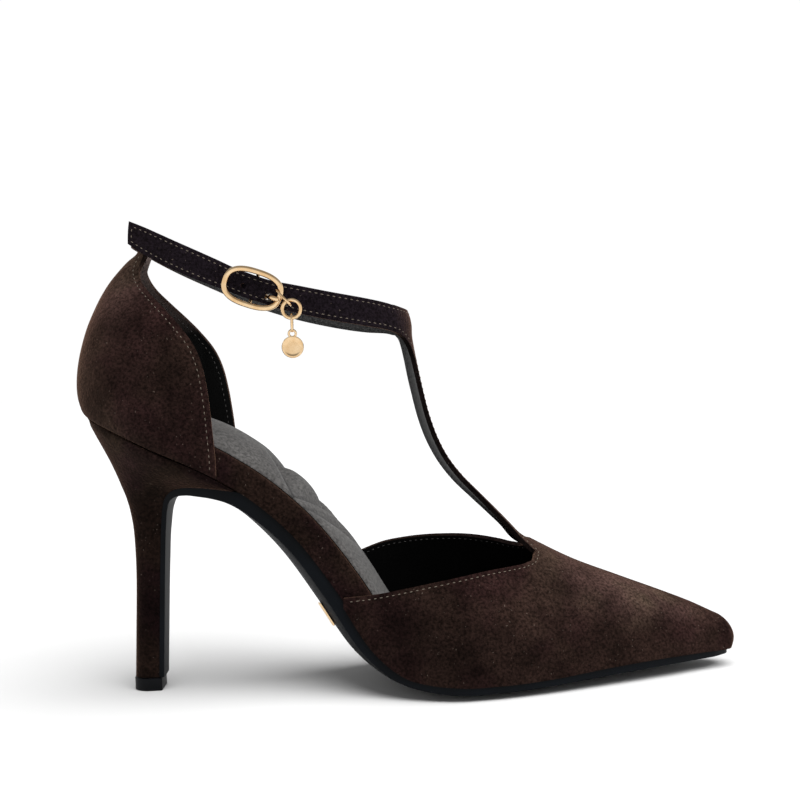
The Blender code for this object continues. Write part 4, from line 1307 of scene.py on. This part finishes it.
def punch_holes(vamp):
    """Punch the strap's holes."""
    tools = []
    for name, (along, up, radius) in (("prong_hole", PRONG_HOLE), ("spare_hole", SPARE_HOLE)):
        ends = [buckle_to_world(along, up, out) for out in PUNCH_OUT]
        loops = tube_loops(ends, (radius, radius), (1, 0, 0), HOLE_SIDES)
        tools.append(loft(name, [(loops, False)], [lining]))
        cut(vamp, tools[-1])
    settle(vamp)
    for tool in tools:
        bpy.data.objects.remove(tool)


def make_vamp():
    """Make the front upper with its T-strap and ankle band, and return it with its skin and free edge."""
    patch = Patch()
    tops = {side: topline_share(THROAT_X, side) for side in (LATERAL, MEDIAL)}
    columns = vamp_columns(patch, tops)
    join_columns(patch, columns)
    strap = t_strap_rows(patch, tops)
    patch.grid(strap)
    band, first, last = band_rows(patch, strap[-1])
    patch.points = crease(patch.points, patch.vertex_normals())
    made = add_object("front_upper", patch.points, patch.faces, (vamp_suede, vamp_lining, suede_edge))
    thicken(made, VAMP_WALL)
    add_bevel(made, VAMP_ROUND)
    punch_holes(made)
    brush_and_paint_light(made)
    return made, patch, vamp_edge(columns, strap, band, first, last)


# The back upper

def counter_row(row):
    """Return one row of the counter, from the medial edge round the back to the lateral edge."""
    lateral_x, edge_z, back_x, back_z, half_width = sizes_at(COUNTER, row)
    places = []
    for column in range(-COUNTER_COLUMNS, COUNTER_COLUMNS + 1):
        share = 1 - math.cos(abs(column) / COUNTER_COLUMNS * math.pi / 2)
        lead = COUNTER_MEDIAL_LEAD * max(1 - row / COUNTER_LEAD_ROWS, 0.0) if column < 0 else 0.0
        x = back_x + (lateral_x + lead - back_x) * share
        half = half_width * round_end(x - back_x, HEEL_ROUND)
        half *= float(outline_of[LATERAL](x)) / OUTLINE["lateral"][0]
        z = back_z + (edge_z - back_z) * share
        seated = max(1 - row, 0.0)
        places.append((x, -math.copysign(half, column), z + (float(seat_z(x)) - z) * seated))
    return places


def make_counter():
    """Make the back upper with its standing tab, and return it with its skin and free edge."""
    patch = Patch()
    rows = []
    for row in row_numbers(COUNTER, COUNTER_STEPS):
        rows.append([patch.point((row, i), place) for i, place in enumerate(counter_row(row))])
    patch.grid(rows)
    made = add_object("back_upper", patch.points, patch.faces, (suede, lining, suede_edge))
    thicken(made, COUNTER_WALL)
    add_bevel(made, COUNTER_ROUND)
    brush_and_paint_light(settle(made))
    edge = [row[0] for row in rows] + rows[-1][1:] + [row[-1] for row in rows[-2::-1]]
    return made, patch, edge


# The sewing

def inset_row(patch, edge, inset):
    """Return a row of places and normals at an inset from a free edge, on the skin."""
    skin = BVHTree.FromPolygons(patch.points, patch.faces)
    corners = np.array([patch.points[index] for index in edge])
    steps = np.linalg.norm(np.diff(corners, axis=0), axis=1)
    corners = corners[np.append(True, steps > SAME_PLACE)]
    tangents = np.gradient(corners, axis=0)
    row = []
    for place, tangent in zip(corners, tangents):
        normal = np.array(skin.find_nearest(Vector(place))[1])
        moved = place + unit(np.cross(tangent, normal)) * inset
        spot, normal, _, _ = skin.find_nearest(Vector(moved))
        if np.linalg.norm(corners - np.array(spot), axis=1).min() > inset * ROW_KEEP:
            row.append((*spot, *normal))
    return np.array(row)


def stitch_rings(keys, row, start):
    """Return the rings of one stitch that starts at a distance along a row."""
    rings = []
    for ring in range(STITCH_RINGS):
        share = ring / (STITCH_RINGS - 1)
        at = start + STITCH_LENGTH * share
        place, normal = np.split(np.array([np.interp(at, keys, column) for column in row.T]), 2)
        around = (at - STITCH_LOOK, at + STITCH_LOOK)
        ahead = np.array([np.diff(np.interp(around, keys, column))[0] for column in row.T[:3]])
        across = unit(np.cross(normal, ahead))
        normal = unit(normal)
        bow = 1 - (2 * share - 1) ** 2
        centre = place + normal * (STITCH_LIFT * bow - STITCH_SINK * (1 - bow))
        radius = STITCH_RADIUS * (STITCH_END + (1 - STITCH_END) * bow)
        rings.append(oval(centre, across * radius, normal * radius, STITCH_SIDES))
    return rings


def make_stitches(name, rows, look):
    """Sew stitches along rows of places and normals."""
    points = []
    faces = []
    for row in rows:
        keys = run_lengths(row[:, :3])
        for start in np.arange(STITCH_PITCH, keys[-1] - STITCH_PITCH, STITCH_PITCH):
            faces += loft_faces(STITCH_SIDES, STITCH_RINGS, False, len(points))
            points += [point for ring in stitch_rings(keys, row, start) for point in ring]
    return close_outward(add_object(name, points, faces, [look]))


def lining_row(row, wall):
    """Return a row on the lining's side of the wall."""
    places, normals = row[:, :3], row[:, 3:]
    return np.hstack((places - normals * wall, -normals))


# The bottom

def sole_stations():
    """Return the sole's upper line from toe to flap, with its sizes at each station."""
    columns = [curve(SOLE, name) for name in ("edge", "crown", "inset")]
    stations = []
    for x in np.concatenate((SOLE_END - np.array(SOLE_TOE_STEPS), np.linspace(*SOLE_RUN))):
        edge, crown, inset = (float(column(x)) for column in columns)
        sides = [edge_y(x, side, inset, SOLE_END) for side in (LATERAL, MEDIAL)]
        stations.append((x, float(seat_z(x)) - GAP, edge, crown, *sides))
    flap = [stations[-3], stations[-1]]
    for x, z, edge, crown, half in zip(*BREAST.values()):
        flap.append((x, z, edge, crown, -half, half))
    return np.vstack((stations, refine(flap, BREAST_STEPS, 1)[1:]))


def sole_normals(stations):
    """Return the outward direction of the sole's lower face at each station, softened, as X and Z."""
    tangents = np.gradient(stations[:, :2], axis=0)
    steps = np.linalg.norm(tangents, axis=1)
    places = np.cumsum(steps)
    near = np.exp(-((places[:, None] - places) / SOLE_SOFTNESS) ** 2)
    tangents = unit(near @ tangents)
    return np.column_stack((-tangents[:, 1], tangents[:, 0]))


def sole_under_point(station, normal, across, extra=0.0):
    """Return the point of the sole's lower face at a share across it."""
    x, z, edge, crown, lateral, medial = station
    depth = edge + crown * (1 - across * across) + extra
    y = lateral + (medial - lateral) * (across + 1) / 2
    return (x + normal[0] * depth, y, max(z + normal[1] * depth, 0.0))


def make_outsole():
    """Make the sole with its edge and its smooth lower face."""
    stations = sole_stations()
    loops = []
    for station, normal in zip(stations, sole_normals(stations)):
        lateral, medial = station[4:]
        x, z = station[:2] - normal * SEAM_LAP
        upper = [(x, y, z) for y in np.linspace(lateral, medial, SOLE_TOP_POINTS)]
        lower = [sole_under_point(station, normal, across) for across in np.linspace(1, -1, SOLE_ACROSS)]
        loops.append(upper + lower)
    made = loft("sole_black", [(loops, False)], (sole_edge, sole_under))
    count = len(loops[0])
    for face in made.data.polygons[:count * (len(loops) - 1)]:
        column = face.index % count
        face.material_index = 1 if SOLE_TOP_POINTS <= column < count - 1 else 0
    return settle(add_bevel(made, SOLE_ROUND))


def bed_stations(back, end, spacing):
    """Return X from a round back to a round toe, closer together at both ends."""
    heel = back + HEEL_ROUND * (1 - np.cos(np.radians(BED_HEEL_TURNS)))
    toe = end - TOE_ROUND * (1 - np.cos(np.radians(BED_TOE_TURNS)))
    middle = np.linspace(heel[-1], toe[0], int((toe[0] - heel[-1]) / spacing) + 2)
    return np.concatenate((heel, middle[1:-1], toe))


def bed_normal(x):
    """Return the direction out of the bottom line at x, as X and Z."""
    rise = float(seat_z(x + BED_SLOPE_STEP) - seat_z(x - BED_SLOPE_STEP))
    return unit(np.array((-rise, 2 * BED_SLOPE_STEP)))


def footbed_size(x):
    """Return the footbed's thickness and inset at x."""
    return [float(curve(FOOTBED, name)(x)) for name in ("thickness", "inset")]


def footbed_side(x, side):
    """Return the heights and Y of the footbed's wall and its round shoulder on one side."""
    thickness, inset = footbed_size(x)
    outer = edge_y(x, side, inset, FOOTBED_END)
    rise = min(FOOTBED_ROUND, ROUND_SHARE_UP * thickness)
    run = min(rise, ROUND_SHARE_OUT * abs(outer))
    levels = [(0.0, outer), ((thickness - rise) / 2, outer)]
    for turn in np.linspace(0, math.pi / 2, ROUND_STEPS):
        levels.append((thickness - rise * (1 - math.sin(turn)), outer - side * run * (1 - math.cos(turn))))
    return levels


def make_footbed():
    """Make the suede-wrapped board with round shoulders."""
    loops = []
    for x in bed_stations(FOOTBED_BACK, FOOTBED_END, BED_SPACING):
        normal = bed_normal(x)
        base = np.array((x, 0.0, float(seat_z(x))))
        levels = footbed_side(x, LATERAL) + footbed_side(x, MEDIAL)[::-1]
        loops.append([base + np.array((normal[0] * up, y, normal[1] * up)) for up, y in levels])
    return brush_and_paint_light(loft("footbed_cover", [(loops, False)], [deep_shaded_suede]))


def bed_length(x):
    """Return the distance along the bottom line from its back end to x."""
    xs = np.linspace(BOTTOM["x"][0], BOTTOM["x"][-1], BED_LENGTH_STEPS)
    return float(np.interp(x, xs, run_lengths(np.column_stack((xs, seat_z(xs))))))


def seam_distance(length, across, half):
    """Return the distance to the sock's nearest seam, for shares across it at one length."""
    places = np.column_stack((np.full(len(across), length), (1 - np.abs(across)) * half))
    nearest = np.full(len(across), np.inf)
    for edge_x, middle_x in zip(*SEAMS.values()):
        start = np.array((bed_length(edge_x), 0.0))
        way = np.array((bed_length(middle_x), half)) - start
        shares = np.clip((places - start) @ way / np.dot(way, way), 0.0, 1.0)
        away = np.linalg.norm(places - start - np.outer(shares, way), axis=1)
        nearest = np.minimum(nearest, away)
    return nearest


def sock_levels(x, crown, edge):
    """Return the across places, heights and seam closeness of the sock's section at x."""
    thickness, inset = footbed_size(x)
    low = thickness + GAP
    sides = [edge_y(x, side, inset + INSOLE_INSET, INSOLE_END) for side in (LATERAL, MEDIAL)]
    half = (sides[1] - sides[0]) / 2
    across = np.sin(np.linspace(1, -1, INSOLE_ACROSS) * math.pi / 2)
    away = seam_distance(bed_length(x), across, half)
    press = SEAM_SHARE * np.clip(1 - away / SEAM_WIDTH, 0.0, 1.0) ** 2
    heights = (edge + crown * (1 - across ** 2)) * (1 - press)
    heights *= [round_end(1 - abs(share), INSOLE_RIM) for share in across]
    places = np.concatenate((sides, (sides[0] + sides[1]) / 2 + across * half))
    heights = np.concatenate(((low, low), low + INSOLE_LIFT + heights))
    return places, heights, np.concatenate(((0.0, 0.0), np.clip(1 - away / SEAM_LINE, 0.0, 1.0)))


def make_sock():
    """Make the padded sock, pressed in along its seams."""
    edge_of = curve(INSOLE, "edge")
    crown_of = curve(INSOLE, "crown")
    loops = []
    closeness = []
    for x in bed_stations(INSOLE_BACK, INSOLE_END, INSOLE_SPACING):
        normal = bed_normal(x)
        base = float(seat_z(x))
        places, heights, near = sock_levels(x, float(crown_of(x)), float(edge_of(x)))
        loops.append([(x + normal[0] * up, y, base + normal[1] * up) for y, up in zip(places, heights)])
        closeness.append(near)
    made = loft("sock_pad", [(loops, False)], [sock])
    seam = made.data.attributes.new("seam", "FLOAT", "POINT")
    seam.data.foreach_set("value", np.concatenate(closeness))
    return made


def heel_plan(half, front_half, plan_round):
    """Return the half widths of a heel's section at shares of its length, from the back."""
    plan = []
    for turn in np.linspace(0, math.pi / 2, HEEL_SIDE):
        share = 1 - math.cos(turn)
        flare = max(share - PLAN_FLARE, 0.0) / (1 - PLAN_FLARE)
        plan.append((share, half * round_end(share, plan_round) + (front_half - half) * flare))
    return plan


def both_sides(side):
    """Return a loop of half a heel's places and their mirror images, from a front corner round the back."""
    return [(x, -y, z) for x, y, z in reversed(side)] + side[1:]


def heel_loop(row):
    """Return one loop of the heel, from its front corner round the back to the other one."""
    back_x, back_z, front_x, front_z, half, front_half = sizes_at(HEEL, row)
    seated = max(row - row_numbers(HEEL, 1)[-1] + 1, 0.0)
    plan_round = PLAN_ROUND + (HEEL_ROUND / (front_x - back_x) - PLAN_ROUND) * seated
    side = []
    for share, width in heel_plan(half, front_half, plan_round):
        x = back_x + (front_x - back_x) * share
        z = back_z + (front_z - back_z) * share
        side.append((x, width, z + (float(seat_z(x)) - SEAT_GROOVE - z) * seated))
    return both_sides(side)


def make_heel():
    """Make the suede-wrapped heel from its tip up to the seat."""
    loops = [heel_loop(row) for row in row_numbers(HEEL, HEEL_STEPS)]
    middle = np.mean(loops[-1], axis=0)
    rim = np.array(loops[-1])
    loops.append((rim + (middle - rim) * (PLUG_INSET, PLUG_INSET, 0.0)).tolist())
    loops.append((loops[-1] + np.array((0.0, 0.0, SEAT_GROOVE + SEAM_LAP))).tolist())
    count = len(loops[0])
    faces = loft_faces(count, len(loops), False)[:-2]
    for first in (0, (len(loops) - 1) * count):
        for j in range(count // 2):
            ends = (first + j, first + j + 1, first + count - 2 - j, first + count - 1 - j)
            faces.append(tuple(dict.fromkeys(ends)))
    points = [point for loop in loops for point in loop]
    made = close_outward(add_object("heel_cover", points, faces, [deep_shaded_suede]))
    return brush_and_paint_light(settle(add_bevel(made, HEEL_EDGE_ROUND)))


def make_tip():
    """Make the flat rubber tip under the heel."""
    plan = heel_plan(TIP_HALF, TIP_FRONT_HALF, PLAN_ROUND)
    places = [(TIP_BACK + (TIP_FRONT - TIP_BACK) * share, width) for share, width in plan]
    loops = [both_sides([(*place, z) for place in places]) for z in (0.0, TIP_HEIGHT)]
    made = loft("tip_rubber", [(loops, False)], [rubber])
    return settle(add_bevel(made, TIP_ROUND))


# The metal

def frame_path():
    """Return the buckle frame's rounded-oval centre line, in the buckle's along and up."""
    path = []
    for turn in np.arange(FRAME_POINTS) * 2 * math.pi / FRAME_POINTS:
        c, s = math.cos(turn), math.sin(turn)
        along = math.copysign(abs(c) ** (2 / FRAME_POWER), c) * FRAME_HALF_LENGTH
        up = math.copysign(abs(s) ** (2 / FRAME_POWER), s) * FRAME_HALF_HEIGHT
        path.append(buckle_to_world(along, up))
    return path


def make_buckle():
    """Make the oval frame with the centre bar that dips behind the strap."""
    upper = [(-BAR_DEPTH * depth, BAR_HALF * up) for depth, up in zip(*BAR_BENDS.values())]
    bends = upper + [(-BAR_DEPTH, 0.0)] + [(out, -up) for out, up in reversed(upper)]
    bar = [buckle_to_world(0.0, up, out) for out, up in refine(bends, BAR_STEPS)]
    along = buckle_to_world(1.0, 0.0) - buckle_to_world(0.0, 0.0)
    frame_loops = tube_loops(frame_path(), FRAME_WIRE, (0, 1, 0), closed=True)
    bar_loops = tube_loops(bar, (BAR_RADIUS, BAR_RADIUS), along)
    return loft("buckle_gold", [(frame_loops, True), (bar_loops, False)], [gold])


def make_prong():
    """Make the tongue that comes through the strap's hole and rests on the frame's front bar."""
    route = refine(np.column_stack((PRONG_PATH["along"], PRONG_PATH["out"])), PRONG_STEPS)
    path = [buckle_to_world(along, PRONG_DROP, out) for along, out in route]
    left = run_lengths(path[::-1])[::-1]
    taper = [round_end(max(distance, NEAR_POINT), PRONG_RADIUS) for distance in left]
    up = buckle_to_world(0.0, 1.0) - buckle_to_world(0.0, 0.0)
    loops = tube_loops(path, (PRONG_RADIUS, PRONG_RADIUS), up, taper=taper)
    return loft("prong_gold", [(loops, False)], [gold])


def link_ends():
    """Return the frame bar's and the ring wire's centres where the first link holds them."""
    bar = buckle_to_world(*LINK_BAR)
    turn = math.radians(RING_LINK_ANGLE)
    wire = np.array(RING_CENTRE) + RING_RADIUS * np.array((math.cos(turn), 0.0, math.sin(turn)))
    return bar, wire


def half_round(centre, radius, way, side):
    """Return points of a half circle that bulges along a way."""
    turns = np.radians(np.linspace(-90, 90, LINK_END_POINTS))
    return [centre + radius * (math.cos(turn) * way + math.sin(turn) * side) for turn in turns]


def make_first_link():
    """Make the small link round the frame's front bar and the ring."""
    bar, wire = link_ends()
    way = unit(wire - bar)
    short = unit(np.array((0.0, 1.0, 0.0)) - way * way[1])
    top = bar - way * (FRAME_WIRE[0] + LINK_PLAY + LINK_WIRE - LINK_TOP_HALF)
    low = wire + way * (RING_WIRE + LINK_PLAY + LINK_WIRE - LINK_LOW_HALF)
    path = half_round(low, LINK_LOW_HALF, way, short) + half_round(top, LINK_TOP_HALF, -way, -short)
    loops = tube_loops(path, (LINK_WIRE, LINK_WIRE), np.cross(way, short), closed=True)
    return loft("link_gold", [(loops, True)], [gold])


def make_ring():
    """Make the large ring."""
    path = oval(RING_CENTRE, (RING_RADIUS, 0, 0), (0, 0, RING_RADIUS), ROUND_SIDES)
    loops = tube_loops(path, (RING_WIRE, RING_WIRE), (0, 1, 0), closed=True)
    return loft("ring_gold", [(loops, True)], [gold])


def disc_loops(x, y, z):
    """Return the loops of a plain dished disc that faces sideways."""
    half = DISC_THICKNESS / 2
    rows = [(r * DISC_RADIUS, h * half) for r, h in zip(*DISC_PROFILE.values())]
    front = [(max(radius, NEAR_POINT), y - out) for radius, out in rows]
    back = [(radius, 2 * y - place) for radius, place in reversed(front)]
    return [oval((x, place, z), (r, 0, 0), (0, 0, r), ROUND_SIDES) for r, place in front + back]


def make_charm():
    """Make the small link with its bail and plain disc."""
    x, y, wire_z = np.array(RING_CENTRE) - (0.0, 0.0, RING_RADIUS)
    top = wire_z + RING_WIRE + GAP + CHARM_WIRE
    low = top - CHARM_LINK_LENGTH
    link_half = (0, CHARM_LINK_HALF + CHARM_WIRE, 0)
    link = oval((x, y, (top + low) / 2), (0, 0, (top - low) / 2), link_half, LINK_POINTS)
    bail_z = low - BAIL_RADIUS + CHARM_WIRE
    bail = oval((x, y, bail_z), (BAIL_RADIUS, 0, 0), (0, 0, BAIL_RADIUS), LINK_POINTS)
    disc_z = bail_z - BAIL_RADIUS - DISC_RADIUS + CHARM_WIRE
    wire = (CHARM_WIRE, CHARM_WIRE)
    skins = [
        (tube_loops(link, wire, (1, 0, 0), closed=True), True),
        (tube_loops(bail, wire, (0, 1, 0), closed=True), True),
        (disc_loops(x, y, disc_z), False),
    ]
    return loft("charm_gold", skins, [gold])


def make_badge():
    """Make the small plain plate under the arch, bent to the sole."""
    stations = sole_stations()
    normals = sole_normals(stations)
    run = (stations[:, 0] < BADGE_X[1] + BADGE_MARGIN) & (stations[:, 0] > BADGE_X[0] - BADGE_MARGIN)
    order = np.argsort(stations[run][:, 0])
    keys = stations[run][order][:, 0]
    station_at = [smooth(keys, column) for column in stations[run][order].T]
    normal_at = [smooth(keys, column) for column in normals[run][order].T]
    loops = []
    for x in np.linspace(*BADGE_X, BADGE_CELLS):
        station = [float(column(x)) for column in station_at]
        normal = [float(column(x)) for column in normal_at]
        spread = np.linspace(*BADGE_ACROSS, BADGE_CELLS)
        near = [sole_under_point(station, normal, across, GAP) for across in spread]
        far = [sole_under_point(station, normal, across, GAP + BADGE_HEIGHT) for across in spread[::-1]]
        loops.append(near + far)
    made = loft("badge_gold", [(loops, False)], [gold])
    return settle(add_bevel(made, BADGE_ROUND))


# Stage, light and camera

def make_floor():
    """Make the wide white floor."""
    work = bmesh.new()
    bmesh.ops.create_grid(work, x_segments=1, y_segments=1, size=FLOOR_HALF)
    mesh = bpy.data.meshes.new("floor")
    work.to_mesh(mesh)
    work.free()
    mesh.materials.append(floor_material())
    floor = add_to_scene("floor", mesh)


def add_sun(name, toward, spread, strength):
    """Add a broad soft light from far away, which bright metal doesn't mirror, given the way to it."""
    data = bpy.data.lights.new(name, "SUN")
    data.angle = math.radians(spread)
    data.energy = strength
    lamp = add_to_scene(name, data)
    lamp.rotation_euler = Vector(toward).to_track_quat("Z", "Y").to_euler()
    lamp.visible_glossy = False


def light_studio():
    """Light the shoe softly from white walls and from above."""
    world = bpy.data.worlds.new("studio")
    look = Look(world, "Background")
    rise = look.rise(look.place("Generated"))
    look.put(Color=look.ramp(rise, (WALL_TOP, CEILING_START), (1.0, CEILING_SHARE)), Strength=WALL_LIGHT)
    bpy.context.scene.world = world
    add_sun("top_light", TOP_LIGHT_WAY, TOP_LIGHT_SPREAD, TOP_LIGHT)


def add_camera():
    """Look at the shoe as the photograph does."""
    yaw = math.atan(CAMERA_YAW_PX / FOCAL_PX)
    pitch = math.atan(CAMERA_PITCH_PX / FOCAL_PX)
    roll = math.radians(CAMERA_ROLL)
    ahead = Vector((math.sin(yaw) * math.cos(pitch), math.cos(yaw) * math.cos(pitch), -math.sin(pitch)))
    level = Vector((math.cos(yaw), -math.sin(yaw), 0.0))
    up = level.cross(ahead)
    right = level * math.cos(roll) - up * math.sin(roll)
    up = up * math.cos(roll) + level * math.sin(roll)
    data = bpy.data.cameras.new("camera")
    data.sensor_width = SENSOR
    data.lens = SENSOR * FOCAL_PX / FRAME_PX
    data.clip_start = CLIP_START
    camera = add_to_scene("camera", data)
    turn = Matrix((right, up, -ahead)).transposed().to_4x4()
    camera.matrix_world = Matrix.Translation(Vector(CAMERA_AT) * MM) @ turn
    bpy.context.scene.camera = camera


# Assembly

def seat(piece, body, slot, *nodes):
    """Hang a piece on its body in place of its solids."""
    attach(piece, body)
    if nodes:
        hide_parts(*nodes)


def build():
    """Make every piece, and the studio round it."""
    vamp, vamp_skin, vamp_free = make_vamp()
    counter, counter_skin, counter_free = make_counter()
    vamp_seam = inset_row(vamp_skin, vamp_free, VAMP_INSET)
    counter_seam = inset_row(counter_skin, counter_free, COUNTER_INSET)
    outer = make_stitches("outer_stitches", [vamp_seam, counter_seam], thread)
    lining_rows = [lining_row(vamp_seam, VAMP_WALL), lining_row(counter_seam, COUNTER_WALL)]
    inner = make_stitches("inner_stitches", lining_rows, dark_thread)
    pad = make_sock()
    seat(vamp, "shoe", "suede", "vamp")
    seat(counter, "shoe", "suede", "counter")
    seat(outer, "shoe", "suede")
    seat(inner, "shoe", "suede")
    seat(make_footbed(), "shoe", "suede", "footbed")
    seat(pad, "shoe", "sock", "insole")
    seat(make_outsole(), "shoe", "sole_leather", "outsole")
    seat(make_heel(), "shoe", "suede", "heel")
    seat(make_tip(), "shoe", "rubber", "top_piece")
    seat(make_buckle(), "shoe", "gold", "buckle")
    seat(make_prong(), "shoe", "gold", "prong")
    seat(make_first_link(), "shoe", "gold", "first_link")
    seat(make_badge(), "shoe", "gold", "sole_badge")
    seat(make_ring(), "charm_ring", "gold", "charm_ring")
    seat(make_charm(), "charm", "gold", "charm")
    make_floor()
    light_studio()
    add_camera()


build()
bpy.context.scene.view_settings.view_transform = "Standard"
